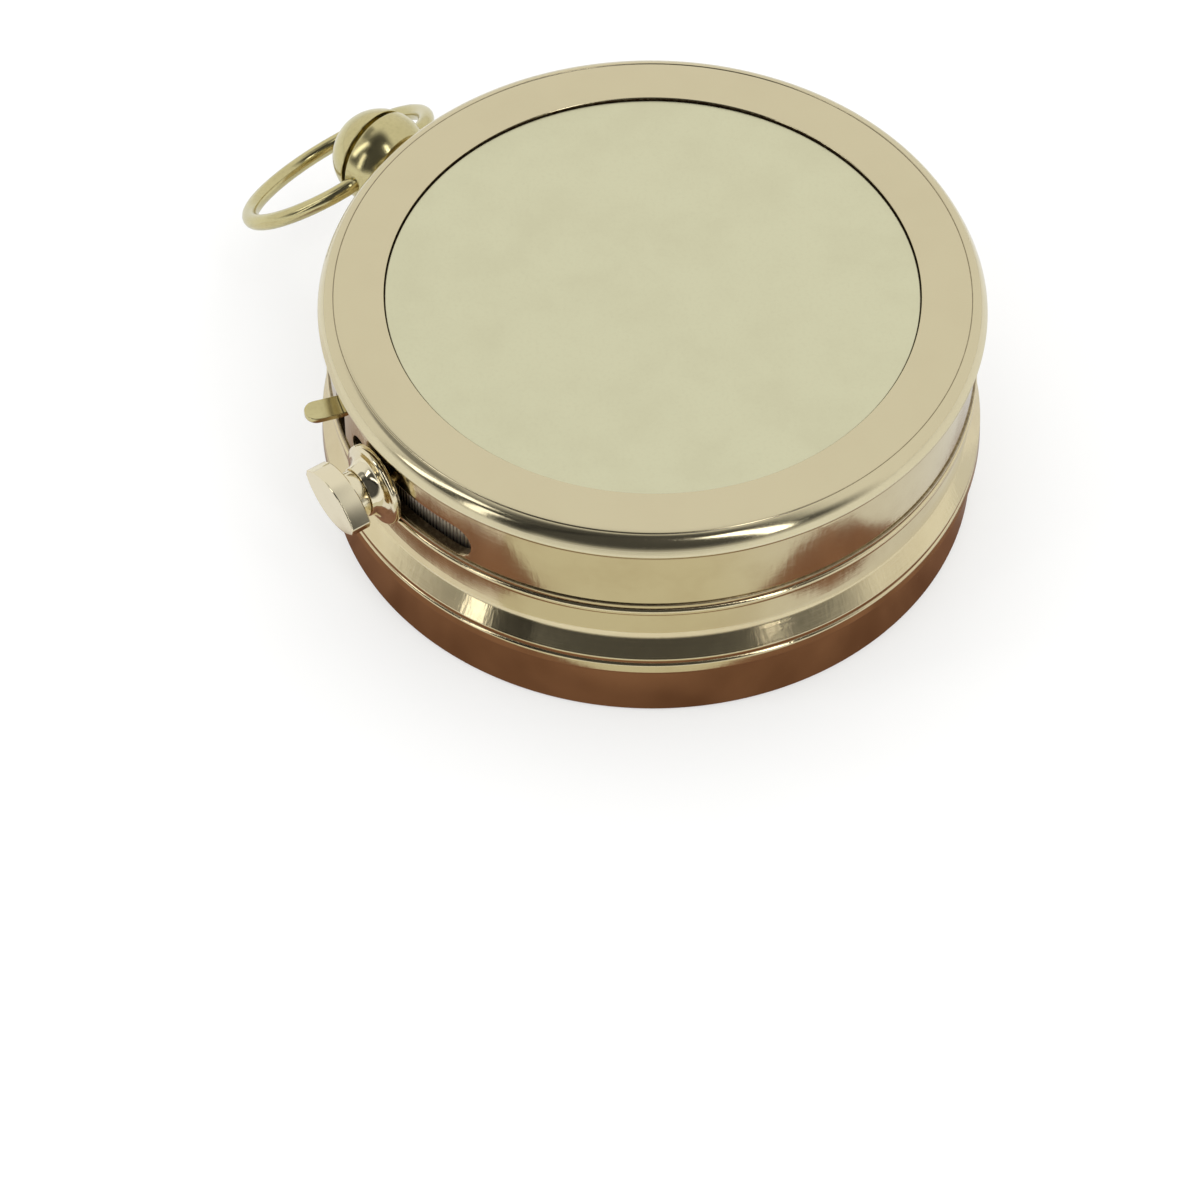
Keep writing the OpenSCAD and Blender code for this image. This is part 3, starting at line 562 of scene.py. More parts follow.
SLOT_HALF, SLOT_TOP_Z, STUD_R, HOLE_STEPS = 1.6 * DEGREES_PER_MM, 22.6, 1.55, 20
window = unrolled(slot_outline(WINDOW_FIRST / DEGREES_PER_MM, WINDOW_LAST / DEGREES_PER_MM,
                               WINDOW_Z, WINDOW_TOP_Z))
lifter_slot = box_outline(LIFTER_AZ - SLOT_HALF, LIFTER_AZ + SLOT_HALF, WINDOW_Z, SLOT_TOP_Z)
stud_hole = unrolled(arc_points(PENDANT_AZ / DEGREES_PER_MM, PENDANT_Z, STUD_R, 0, CIRCLE, HOLE_STEPS)[:-1])
wall = rolled([box_outline(0, 360, WALL_Z, SEAM_Z), window, lifter_slot, stud_hole], WALL_R, BORE_R)
piece("case_wall", wall, "case", "case_brass", ["case_body"], sharp=24)

# %% [markdown]
# ## Glass seat and bezel
# A ledge inside the wall carries the gasket and the glass, and a turned bezel holds the glass down. They
# show when the lid is open.

# %% Glass seat and bezel
GLASS_R, GLASS_Z, GLASS_T, GLASS_FIT = 33.07, 24.4, 1.0, 0.05
SEAT_Z, SEAT_T, SEAT_IN_R = 23.5, 0.6, GLASS_R - 1.55
BEZEL_R, BEZEL_IN_R, BEZEL_TOP_Z = BORE_R - 1.63, GLASS_R - 1.1, SEAT_Z + 2.45
seat_top = SEAT_Z + SEAT_T
seat = turned([(BORE_R, SEAT_Z), (BORE_R, seat_top), (SEAT_IN_R, seat_top, 0.1), (SEAT_IN_R, SEAT_Z, 0.1)])
piece("glass_seat", seat, "case", "case_brass", ["case_body"])
glass_top = GLASS_Z + GLASS_T
bezel = turned([(GLASS_R + GLASS_FIT, seat_top), (BEZEL_R, seat_top), (BEZEL_R, BEZEL_TOP_Z, 0.2),
                (BEZEL_IN_R, BEZEL_TOP_Z, 0.35), (BEZEL_IN_R, glass_top, 0.05),
                (GLASS_R + GLASS_FIT, glass_top)])
piece("bezel_turned", bezel, "case", "case_brass", ["glass_bezel"])
pane = turned([(0, GLASS_Z), (GLASS_R, GLASS_Z, 0.12), (GLASS_R, glass_top, 0.12), (0, glass_top)])
piece("glass_pane", pane, "case", "glass", ["glass"])

# %% [markdown]
# ## The lid
# The lid is a turned ring with an inset plate. The ring's outer edge is a bead that falls away in four
# flattening steps, a fine V groove parts the bead from the flat, and a skirt underneath slides into the case.
# The bead's steps are given as how far in from its edge and how far down from the top they lie.

# %% Lid ring
BEAD_R, BEAD_Z, FLAT_R = 37.5, SEAM_Z + 0.5, 35.1
BEAD_STEPS = [(0.0, 1.9, 0.3), (0.38, 1.05, 0.3), (0.75, 0.48, 0.3), (1.35, 0.16, 0.2)]
GROOVE_HALF, GROOVE_DEPTH = 0.1, 0.15
PLATE_Z, LEDGE_R, LEDGE_Z, WEB_R, PLATE_FIT = 27.45, 28.0, 26.85, 34.15, 0.05
under = [(LEDGE_R, LEDGE_Z, 0.1), (WEB_R, LEDGE_Z), (WEB_R, SEAM_Z, 0.05), (RIM_R, SEAM_Z, 0.16),
         (RIM_R, BEAD_Z, 0.05), (BEAD_R, BEAD_Z, 0.55)]
bead = [(BEAD_R - inward, TOP_Z - down, soft) for inward, down, soft in BEAD_STEPS]
groove = [(GROOVE_R + GROOVE_HALF, TOP_Z - 0.07, 0.04), (GROOVE_R, TOP_Z - GROOVE_DEPTH, 0.02),
          (GROOVE_R - GROOVE_HALF, TOP_Z - 0.06, 0.04), (FLAT_R, TOP_Z, 0.3)]
inside = [(PLATE_R + PLATE_FIT, TOP_Z, 0.1), (PLATE_R + PLATE_FIT, PLATE_Z), (LEDGE_R, PLATE_Z, 0.1)]
lid = turned(under + bead + groove + inside, steps=300)
piece("lid_turned", lid, "lid", "lid_brass", ["lid_ring"])

# %% Skirt and inset plate
SKIRT_R, SKIRT_IN_R, SKIRT_Z, SKIRT_TOP_Z, HINGE_GAP = 35.25, 34.35, SEAM_Z - 1.5, SEAM_Z + 0.2, 50.0
PLATE_TOP_R, PLATE_TOP_Z = PLATE_R - 0.02, TOP_Z - 0.35
skirt = turned([(SKIRT_IN_R, SKIRT_Z, 0.1), (SKIRT_R, SKIRT_Z, 0.25), (SKIRT_R, SKIRT_TOP_Z),
                (SKIRT_IN_R, SKIRT_TOP_Z)], steps=200, angle=math.radians(360 - HINGE_GAP),
               start=math.radians(HINGE_AZ + HINGE_GAP / 2))
piece("lid_skirt", skirt, "lid", "lid_brass", ["lid_ring"])
plate = turned([(0, PLATE_Z), (PLATE_TOP_R, PLATE_Z), (PLATE_TOP_R, PLATE_TOP_Z, 0.16), (0, PLATE_TOP_Z)])
piece("lid_inset", plate, "lid", "plate_brass", ["lid_plate"])

# %% [markdown]
# ## The hinge
# Three barrels on one steel pin: the outer two belong to the case, the middle one to the lid. Each has a
# short strap that joins it to its own half.

# %% Hinge barrels
BARREL_R, PIN_BORE, BARREL_SOFT, BARREL_GAP, MIDDLE_SHARE = 1.0, 0.55, 0.08, 0.1, 0.46


def hinge_barrel(y0, y1, strap_box):
    """A bored barrel along the hinge's axis, with a strap from (x0, x1, z0, z1)."""
    barrel = turned([(PIN_BORE, y0, BARREL_SOFT), (BARREL_R, y0, BARREL_SOFT), (BARREL_R, y1, BARREL_SOFT),
                     (PIN_BORE, y1, BARREL_SOFT)], steps=48)
    barrel.transform(Matrix.Rotation(-math.pi / 2, 4, "X"))
    barrel.transform(Matrix.Translation((HINGE_S, 0, HINGE_Z)))
    strap = bmesh.new()
    bmesh.ops.create_cube(strap, size=1.0)
    x0, x1, z0, z1 = strap_box
    bmesh.ops.scale(strap, vec=(x1 - x0, y1 - y0, z1 - z0), verts=strap.verts[:])
    bmesh.ops.translate(strap, vec=((x0 + x1) / 2, (y0 + y1) / 2, (z0 + z1) / 2), verts=strap.verts[:])
    return joined(barrel, soften(strap, BARREL_SOFT))


at_hinge = Matrix.Rotation(math.radians(HINGE_AZ), 4, "Z")
middle = HINGE_LEN * MIDDLE_SHARE / 2
case_strap = (HINGE_S - 1.3, HINGE_S - 0.56, HINGE_Z - 1.0, HINGE_Z + 0.6)
for side, letter in ((-1, "a"), (1, "b")):
    ends = sorted((side * (middle + BARREL_GAP), side * HINGE_LEN / 2))
    piece(f"hinge_barrel_{letter}", hinge_barrel(*ends, case_strap), "case", "case_brass", ["case_body"],
          place=at_hinge)
lid_strap = (HINGE_S - 0.45, HINGE_S + 0.45, HINGE_Z + 0.56, SEAM_Z + 0.4)
piece("hinge_barrel_lid", hinge_barrel(-middle, middle, lid_strap), "lid", "lid_brass", ["lid_ring"],
      place=at_hinge)

# %% [markdown]
# ## Pendant and bail
# The pendant is turned too, about an axis that points out of the wall: a collar, a ball with a groove cut
# round it, and a domed cap behind the groove. The bail's pin runs across the ball.

# %% Pendant
PENDANT_COLLAR_R, BALL_FOOT_S, BALL_GROOVE_S, BALL_GROOVE_W, CAP_NECK_R = 3.7, 38.7, BALL_S + 0.5, 0.6, 4.3
out_of_wall = radial(PENDANT_AZ, PENDANT_Z)
collar = turned([(STUD_R, BORE_R + 1.3), (PENDANT_COLLAR_R, BORE_R + 0.9),
                 (PENDANT_COLLAR_R, BALL_FOOT_S, 0.35), (STUD_R, BALL_FOOT_S)], steps=120)
piece("pendant_turned_collar", collar, "case", "case_brass", ["pendant_collar"], place=out_of_wall)


def ball_profile(z0, z1, steps=24):
    """Points on the ball's outline between two distances along its axis."""
    first, last = [math.asin(max(-1, min(1, (z - BALL_S) / BALL_R))) for z in (z0, z1)]
    return arc_points(0, BALL_S, BALL_R, first, last, steps)


ball_side = ball_profile(BALL_FOOT_S, BALL_GROOVE_S)
ball_side[0], ball_side[-1] = (*ball_side[0], 0.15), (*ball_side[-1], 0.1)
ball = turned([(0, BALL_FOOT_S), *ball_side, (0, BALL_GROOVE_S)], steps=160)
piece("pendant_turned_ball", ball, "case", "olive_brass", ["pendant_ball"], place=out_of_wall)
cap_s = BALL_GROOVE_S + BALL_GROOVE_W
dome = ball_profile(cap_s, BALL_S + BALL_R)
dome[0] = (*dome[0], 0.12)
cap = turned([(0, BALL_GROOVE_S), (CAP_NECK_R, BALL_GROOVE_S), (CAP_NECK_R, cap_s), *dome[:-1],
              (0, BALL_S + BALL_R)], steps=160)
piece("pendant_turned_cap", cap, "case", "olive_brass", ["pendant_cap"], place=out_of_wall)

# %% [markdown]
# The bail is one length of round wire. Its path is the straight pin through the ball, two tight bends and
# one large round. Sweeping a round along a path is what a curve's bevel depth does, so the path becomes a
# curve for that step.

# %% Bail
BAIL_R, WIRE_R, WIRE_ROUNDNESS, PIN_HALF, DROOP = 12.0, 0.95, 6, 6.1, 40.0
ARC_STEPS, BEND_STEPS = 96, 3


def wire(points, radius, name):
    """A closed round wire along points in millimetres."""
    curve = bpy.data.curves.new(name, "CURVE")
    curve.dimensions = "3D"
    curve.bevel_depth, curve.bevel_resolution = radius, WIRE_ROUNDNESS
    spline = curve.splines.new("POLY")
    spline.points.add(len(points) - 1)
    for point, place in zip(spline.points, points):
        point.co = (*place, 1)
    spline.use_cyclic_u = True
    spare = bpy.data.objects.new(name, curve)
    bm = bmesh.new()
    mesh = bpy.data.meshes.new_from_object(spare)
    bm.from_mesh(mesh)
    bpy.data.objects.remove(spare)
    bpy.data.meshes.remove(mesh)
    bmesh.ops.remove_doubles(bm, verts=bm.verts[:], dist=1e-4)
    return bm


centre_v = math.sqrt(BAIL_R ** 2 - PIN_HALF ** 2)
pin_end = math.atan2(-centre_v, PIN_HALF)
arc = arc_points(0, centre_v, BAIL_R, pin_end, math.pi - pin_end, ARC_STEPS)[BEND_STEPS:-BEND_STEPS]
bend = [(PIN_HALF - 0.75, 0.0), (PIN_HALF - 0.2, 0.06), (PIN_HALF + 0.28, 0.3)]
pin = [(PIN_HALF * k / 4, 0.0) for k in range(-3, 4)]
path = pin + bend + arc + [(-x, v) for x, v in reversed(bend)]
bail = wire([(x, v, 0) for x, v in path], WIRE_R, "bail_wire")
hanging = (Matrix.Rotation(math.radians(PENDANT_AZ), 4, "Z") @ Matrix.Translation((BAIL_S, 0, PENDANT_Z))
           @ Matrix.Rotation(math.radians(DROOP), 4, "Y") @ Matrix.Rotation(-math.pi / 2, 4, "Z"))
piece("bail_wire", bail, "bail", "olive_brass", ["ring_bail"], place=hanging)

# %% [markdown]
# ## The clamp
# A flared washer and a thumb piece on the ring's stud. The flare is a concave rounding in the lathe's
# outline. The thumb leaf is filed from plate: two arcs that meet in blunted tips, drawn out and softened.

# %% Clamp washer
STUD_BORE, WASHER_S, WASHER_R, DISC_T, FLARE_R, FLARE_TOP_R, THUMB_S = 1.45, 37.1, 4.8, 0.85, 3.2, 2.9, 39.65
clamp_axis = radial(CLAMP_AZ, (WINDOW_Z + WINDOW_TOP_Z) / 2)
disc_s, flare_s = WASHER_S + DISC_T, THUMB_S - 0.05
washer = turned([(STUD_BORE, WASHER_S), (WASHER_R, WASHER_S, 0.12), (WASHER_R, disc_s, 0.22),
                 (WASHER_R - 0.5, disc_s + 0.13, 0.08), (FLARE_R, disc_s + 0.25, 1.0),
                 (FLARE_TOP_R, flare_s, 0.05), (STUD_BORE, flare_s)], steps=120)
piece("clamp_turned_washer", washer, "variation_ring", "clamp_brass", ["clamp_washer"], place=clamp_axis)

# %% Thumb piece
HUB_R, HUB_IN_LEAF, LEAF_S, LEAF_T, LEAF_LEN, LEAF_H = 2.75, 0.6, 40.75, 2.4, 10.0, 5.6
LEAF_TIP, LEAF_TURN, LEAF_SHIFT, LEAF_EDGE, LEAF_STEPS = 0.94, 81.0, -0.5, 0.16, 14


def leaf(length, height, tip, thick, edge):
    """A lens-shaped leaf in the x-y plane, long in x; tip is the share of its length that is kept."""
    arc_r = (length ** 2 + height ** 2) / (4 * height)
    low = arc_r - height / 2
    along = [tip * length / 2 * (2 * k / LEAF_STEPS - 1) for k in range(LEAF_STEPS + 1)]
    top = [(x, math.sqrt(arc_r ** 2 - x ** 2) - low) for x in along]
    rim = [(x, y, 0) for x, y in top] + [(-x, -y, 0) for x, y in top]
    return soften(plate_piece(rim, (0, 0, thick)), edge, 3)


hub_end = LEAF_S + HUB_IN_LEAF
hub = turned([(STUD_BORE, THUMB_S), (HUB_R, THUMB_S, 0.15), (HUB_R, hub_end), (STUD_BORE, hub_end)], steps=96)
blade = leaf(LEAF_LEN, LEAF_H, LEAF_TIP, LEAF_T, LEAF_EDGE)
blade.transform(Matrix.Rotation(math.radians(LEAF_TURN), 4, "Z") @ Matrix.Translation((LEAF_SHIFT, 0, 0)))
blade.transform(Matrix.Translation((0, 0, LEAF_S)))
piece("clamp_thumb_leaf", joined(hub, blade), "thumb", "clamp_brass", ["clamp_thumb"], place=clamp_axis)

# %% [markdown]
# ## The lifter
# A cranked brass lever. Its side view is a strip that runs under the card, steps up close to the wall and
# comes out as a flat tab. The side view is drawn out to the tab's width, the end is rounded, and all edges
# are broken a little. A fork at the inner end lifts the collar, and a boss turns on the pin.

# %% Lever strip
TAB_W, TAB_S, TAB_Z, TAB_TOP_Z, TAB_END_R = 2.8, 40.7, 21.6, 22.3, 1.36
LEVER_Z, LEVER_T, LEVER_S, CRANK_S = 19.05, 0.7, 6.3, 30.5
lever_top, crank_out = LEVER_Z + LEVER_T, CRANK_S + LEVER_T
side_view = [(LEVER_S, LEVER_Z), (crank_out, LEVER_Z), (crank_out, TAB_Z), (TAB_S, TAB_Z), (TAB_S, TAB_TOP_Z),
             (CRANK_S, TAB_TOP_Z), (CRANK_S, lever_top), (LEVER_S, lever_top)]
strip = plate_piece([(x, -TAB_W / 2, z) for x, z in side_view], (0, TAB_W, 0))
tab_corners = [e for e in strip.edges if all(abs(v.co.x - TAB_S) < 1e-4 for v in e.verts)
               and abs(e.verts[0].co.z - e.verts[1].co.z) > 0.1]
bmesh.ops.bevel(strip, geom=tab_corners, offset=TAB_END_R, offset_type="OFFSET", segments=12, profile=0.5,
                affect="EDGES", material=-1)
soften(strip, 0.09, 3, 30)
print("the tab ends", TAB_S, "mm out from the axis")

# %% Fork and boss
FORK_S, THROAT_S, FORK_HALF, THROAT_HALF = 6.4, 5.2, 3.2, 1.8
FULCRUM_S, BOSS_R, BOSS_HALF = 8.0, 1.1, 1.4
fork_rim = [(0, THROAT_HALF), (THROAT_S, THROAT_HALF), (THROAT_S, -THROAT_HALF), (0, -THROAT_HALF),
            (0, -FORK_HALF), (FORK_S, -FORK_HALF), (FORK_S, FORK_HALF), (0, FORK_HALF)]
fork = soften(plate_piece([(x, y, LEVER_Z) for x, y in fork_rim], (0, 0, LEVER_T)), 0.08)
boss = turned([(PIN_BORE, -BOSS_HALF), (BOSS_R, -BOSS_HALF, 0.1), (BOSS_R, BOSS_HALF, 0.1),
               (PIN_BORE, BOSS_HALF)], steps=40)
boss.transform(Matrix.Rotation(math.pi / 2, 4, "X"))
boss.transform(Matrix.Translation((FULCRUM_S, 0, LEVER_Z + LEVER_T / 2)))
piece("lifter_lever", joined(strip, fork, boss), "lifter", "olive_brass", ["card_lifter"],
      place=Matrix.Rotation(math.radians(LIFTER_AZ), 4, "Z"))

# %% [markdown]
# ## The variation ring
# Its outside is knurled with fine upright grooves, and a piece of that shows in the arc window. The band
# is spun with two steps to a tooth, and every other column of outer points is drawn in. The band leaves out
# the part where the lifter passes, and the hoop above it is whole.

# %% Knurled band and hoop
BAND_Z, RING_TOP_Z, RING_IN_R, SHELF_R, TEETH, TOOTH_DEPTH = 16.9, 23.2, 33.6, 29.2, 440, 0.16
NOTCH_FIRST, NOTCH_LAST, NOTCH_Z = 175.7, 208.8, 22.6
pitch = 360 / TEETH / 2


def knurled(bm):
    for vert in bm.verts:
        column = (math.degrees(math.atan2(vert.co.y, vert.co.x)) - NOTCH_LAST) / pitch
        if math.hypot(vert.co.x, vert.co.y) > RING_R - 0.02 and round(column) % 2:
            vert.co.x *= 1 - TOOTH_DEPTH / RING_R
            vert.co.y *= 1 - TOOTH_DEPTH / RING_R
    return bm


columns = round((360 - (NOTCH_LAST - NOTCH_FIRST)) / pitch)
band = turned([(RING_IN_R, BAND_Z), (RING_R - 0.25, BAND_Z, 0.1), (RING_R, BAND_Z + 0.45),
               (RING_R, NOTCH_Z - 0.3), (RING_R - 0.25, NOTCH_Z + 0.02), (RING_IN_R, NOTCH_Z + 0.02)],
              steps=columns, angle=math.radians(columns * pitch), start=math.radians(NOTCH_LAST))
shelf_z = RING_TOP_Z - 0.2
hoop = turned([(RING_IN_R, NOTCH_Z), (RING_R, NOTCH_Z, 0.1), (RING_R, RING_TOP_Z, 0.15),
               (RING_IN_R, RING_TOP_Z, 0.1), (RING_IN_R, shelf_z), (SHELF_R, shelf_z, 0.05),
               (SHELF_R, NOTCH_Z, 0.05)])
piece("variation_band", joined(knurled(band), hoop), "variation_ring", "dark_brass", ["variation_ring"],
      sharp=25)

# %% [markdown]
# ## Engraving and print
# Scales are what a compass is read by. The ring of degrees is engraved and filled with black, and the card
# is printed. Both are thin raised shapes here, because a picture of lines would blur up close. A tick is
# a small box, and the figures come from a text object that is made a mesh before it is placed.

# %% Ticks and figures
INK_SUNK, INK_PROUD, LONG_STEP, LONG_WIDTH = 0.01, 0.015, 10, 1.6


def ticks(spans, width, level):
    """Radial ticks: spans is a list of (step in degrees, inner radius, outer radius)."""
    bm = bmesh.new()
    done = set()
    z0, z1 = level - INK_SUNK, level + INK_PROUD
    for step, r0, r1 in spans:
        wide = width * (LONG_WIDTH if step >= LONG_STEP else 1)
        for az in range(0, 360, step):
            if az in done:
                continue
            done.add(az)
            made = bmesh.ops.create_cube(bm, size=1.0)["verts"]
            place = (Matrix.Rotation(math.radians(az), 4, "Z")
                     @ Matrix.Translation(((r0 + r1) / 2, 0, (z0 + z1) / 2))
                     @ Matrix.Diagonal((r1 - r0, wide, z1 - z0, 1)))
            bmesh.ops.transform(bm, matrix=place, verts=made)
    return bm


def lettering(marks, size, radius, level):
    """marks is a list of (text, azimuth). The feet of the letters point to the centre."""
    whole = bmesh.new()
    z0, z1 = level - INK_SUNK, level + INK_PROUD
    for words, az in marks:
        curve = bpy.data.curves.new("figure", "FONT")
        curve.body, curve.size, curve.resolution_u = words, size, 3
        curve.align_x, curve.align_y = "CENTER", "CENTER"
        curve.extrude = (z1 - z0) / 2
        spare = bpy.data.objects.new("figure", curve)
        mesh = bpy.data.meshes.new_from_object(spare)
        mesh.transform(Matrix.Rotation(math.radians(az), 4, "Z")
                       @ Matrix.Translation((radius, 0, (z0 + z1) / 2))
                       @ Matrix.Rotation(-math.pi / 2, 4, "Z"))
        whole.from_mesh(mesh)
        bpy.data.objects.remove(spare)
        bpy.data.meshes.remove(mesh)
    return whole


def bearings(step):
    """The figures of a compass: clockwise from the north, which lies at 90 degrees here."""
    return [(str((90 - az) % 360), az) for az in range(0, 360, step)]


def inked(name, bm, body, material):
    made = piece(name, bm, body, None, outward=False, sharp=20)
    made.data.materials.append(material)


# %% Ring of degrees
SCALE_R, TICK_IN_R, FIGURE_R = 33.5, 29.4, 32.1
scale = turned([(SHELF_R, shelf_z), (SCALE_R, shelf_z, 0.03), (SCALE_R, RING_TOP_Z, 0.05),
                (SHELF_R, RING_TOP_Z, 0.05)], steps=300)
piece("degree_scale", scale, "variation_ring", "silvered", ["degree_ring"])
degree_spans = [(10, TICK_IN_R, 31.1), (5, TICK_IN_R, 30.6), (1, TICK_IN_R, 30.2)]
inked("degree_ticks", ticks(degree_spans, 0.09, RING_TOP_Z), "variation_ring", ink)
inked("degree_figures", lettering(bearings(10), 1.5, FIGURE_R, RING_TOP_Z), "variation_ring", ink)

# %% [markdown]
# ## The card
# The card is printed board with a brass hub. Its rose stands inside rings of degrees. It has sixteen points,
# each half in black. The other half is red on the eight large points and open on the small ones.

# %% Card and rose
CARD_R, CARD_BORE, CARD_Z, CARD_TOP_Z = 28.5, 2.65, 22.1, 22.45
disc = turned([(CARD_BORE, CARD_Z), (CARD_R, CARD_Z, 0.06), (CARD_R, CARD_TOP_Z, 0.06),
               (CARD_BORE, CARD_TOP_Z)])
piece("card_board", disc, "card", "card", ["card_disc"])
INK_Z, INK_TOP_Z, ROSE_IN_R = CARD_TOP_Z - INK_SUNK, CARD_TOP_Z + INK_PROUD, 3.0


def star(reach, waist, first, step, half):
    """One half of each point of a star, as thin prisms: half is 1 or -1."""
    bm = bmesh.new()
    for k in range(round(360 / step)):
        az = math.radians(first + k * step)
        side = az + half * math.radians(step / 2)
        corners = [(radius * math.cos(turn), radius * math.sin(turn), INK_Z)
                   for radius, turn in ((ROSE_IN_R, az), (waist, side), (reach, az))]
        drawn_out(bm, corners, (0, 0, INK_TOP_Z - INK_Z))
    bmesh.ops.recalc_face_normals(bm, faces=bm.faces[:])
    return bm


def on_card(name, bm, material=ink):
    inked(name, bm, "card", material)


MAIN_POINTS, MID_POINTS, SMALL_POINTS = (17.5, 4.6, 0, 90), (12.5, 4.2, 45, 90), (9.0, 5.0, 22.5, 45)
on_card("card_rose", joined(star(*MAIN_POINTS, 1), star(*MID_POINTS, 1), star(*SMALL_POINTS, 1)))
on_card("card_rose_light", joined(star(*MAIN_POINTS, -1), star(*MID_POINTS, -1)), red_ink)

# %% Card's rings and letters
RING_OUT, RING_MID, RING_IN = (28.0, 0.12), (25.2, 0.1), (18.2, 0.1)
LETTER_R, MID_LETTER_R, CARD_FIGURE_R = 20.7, 20.3, 24.0


def hoop_line(radius, width):
    """A printed circle, from its inner radius."""
    outer = radius + width
    return turned([(radius, INK_Z), (outer, INK_Z), (outer, INK_TOP_Z), (radius, INK_TOP_Z)], steps=180)


outer_r = RING_OUT[0]
card_spans = [(10, 25.4, outer_r), (5, 26.3, outer_r), (2, 26.9, outer_r)]
lines = [hoop_line(*ring) for ring in (RING_OUT, RING_MID, RING_IN)]
on_card("card_ticks", joined(ticks(card_spans, 0.1, CARD_TOP_Z), *lines))
on_card("card_figures", lettering(bearings(30), 1.9, CARD_FIGURE_R, CARD_TOP_Z))
main_letters = lettering([("E", 0), ("S", 270), ("W", 180)], 4.0, LETTER_R, CARD_TOP_Z)
mid_letters = lettering([("NE", 45), ("NW", 135), ("SW", 225), ("SE", 315)], 2.6, MID_LETTER_R, CARD_TOP_Z)
on_card("card_letters", joined(main_letters, mid_letters))
on_card("card_north", lettering([("N", 90)], 4.6, LETTER_R, CARD_TOP_Z), red_ink)

# %% [markdown]
# ## Floor
# The floor is pale paper that keeps the object's soft shadow. The camera and the glass see half of it as
# plain white light, so the background stays white, and mirrors see it a little darker than it is.

# %% Floor
PAPER_SIZE, PAPER_DROP = 6.0, 0.00002


def staged(name, bm, material):
    """A part of the studio, not of the compass."""
    mesh = bpy.data.meshes.new(name)
    bm.to_mesh(mesh)
    bm.free()
    made = bpy.data.objects.new(name, mesh)
    made.data.materials.append(material)
    bpy.context.scene.collection.objects.link(made)
    return made


def floor_finish():
    paint = Paint("floor", roughness=0.9, specular_ior_level=0.1)
    camera, glossy, through = paint.node(
        "ShaderNodeLightPath", output=("Is Camera Ray", "Is Glossy Ray", "Is Transmission Ray"))
    glow = paint.node("ShaderNodeEmission", None, {"Color": (1, 1, 1, 1), "Strength": 1.0})
    paint.set("Base Color", paint.mix(glossy, (0.86, 0.86, 0.855, 1), (0.74, 0.75, 0.76, 1)))
    paper = Val(paint, paint.shader.outputs[0])
    mixed = paint.node("ShaderNodeMixShader", None, {0: (camera + through) * 0.5, 1: paper, 2: glow})
    output = next(n for n in paint.tree.nodes if n.type == "OUTPUT_MATERIAL")
    paint.put(output.inputs["Surface"], mixed)
    return paint.material


paper = bmesh.new()
bmesh.ops.create_grid(paper, x_segments=1, y_segments=1, size=PAPER_SIZE / 2)
bmesh.ops.translate(paper, vec=(0, 0, -PAPER_DROP), verts=paper.verts[:])
staged("floor", paper, floor_finish())
print("floor", PAPER_SIZE, "m wide")

# %% [markdown]
# ## Cards
# Polished brass shows whatever stands around it, so a photographer lays cards about it that only its
# reflections see. Here the cards glow by themselves. A dark warm one lies close around the foot and fades out
# behind, and its glow is darker next to the foot as a painted shadow and streaked with grain; a pale one lies
# in front and to the right, and a white one at the left. Where they meet, the wall shows the slanted edges of
# its dark patches.

# %% Cards that only reflections see
CARD_LEVEL = 0.05 * MM
LEFT_EDGE = [(-50, 0), (-48, -20), (-46, -29), (-40, -39), (-33, -45)]
FRONT_EDGE = [(-25, -46), (22, -46), (31, -45), (38, -41), (41.5, -34), (42, -22)]
FAR_LEFT = (-60, -75)


def card(name, corners, strength):
    """A flat glowing card just above the floor, from its corners in millimetres."""
    bm = bmesh.new()
    bm.faces.new([bm.verts.new((x * MM, y * MM, CARD_LEVEL)) for x, y in corners])
    paint = Paint(name, base_color=(0, 0, 0, 1), specular_ior_level=0.0, emission_strength=strength,
                  emission_color=(1, 1, 1, 1))
    made = staged(name, bm, paint.material)
    made.visible_camera = made.visible_diffuse = made.visible_shadow = made.visible_transmission = False
    return paint


dark = card("dark_card", [(-48, 15), *LEFT_EDGE, *FRONT_EDGE, (48, 15), (40, 30), (-40, 30)], 1.0)
x, y, z = dark.split(dark.place())
away = (x * x + y * y).math("SQRT")
cloudy = dark.noise(dark.vector(x * 0.07, y * 0.16, 0.0), 1.0, 2.0)
# The warm card's glow is darker close to the foot, a painted shadow, and streaked with grain.
painted_shadow_and_grain = dark.ramp(away, CUP_R - 1.1, CUP_R + 7.9) * 0.6 + dark.ramp(cloudy, 0.3, 0.7) * 0.4
warm = dark.mix(painted_shadow_and_grain, (0.13, 0.062, 0.040, 1), (0.29, 0.155, 0.105, 1))
dark.set("Emission Color", dark.mix(dark.ramp(y, -14.0, 16.0), warm, (0.7, 0.7, 0.7, 1)))
pale = card("pale_card", [LEFT_EDGE[-1], FAR_LEFT, (90, -75), (90, 10), (42, 10), *reversed(FRONT_EDGE)], 0.8)
x, y, z = pale.split(pale.place())
pale.set("Emission Color", pale.mix(pale.ramp(x, 8.0, 42.0), (0.9, 0.885, 0.75, 1), (1, 1.02, 1.05, 1)))
card("white_card", [(-52, 30), *LEFT_EDGE, FAR_LEFT, (-110, -60), (-110, 30)], 0.9)
print("three cards")

# %% [markdown]
# ## Room and lamps
# The room that mirrors see is bright behind, at the sides and down at the floor, and dark in front above
# it, which draws the dark bands in the bead and the hollow. A stand at the front left and a beam at the back
# left cut thin dark streaks into the bright part. All other light is even. Three soft boxes leave the bright
# patches beside the dark bands, and the overhead lamp, which no mirror sees, gives the shadow its direction.

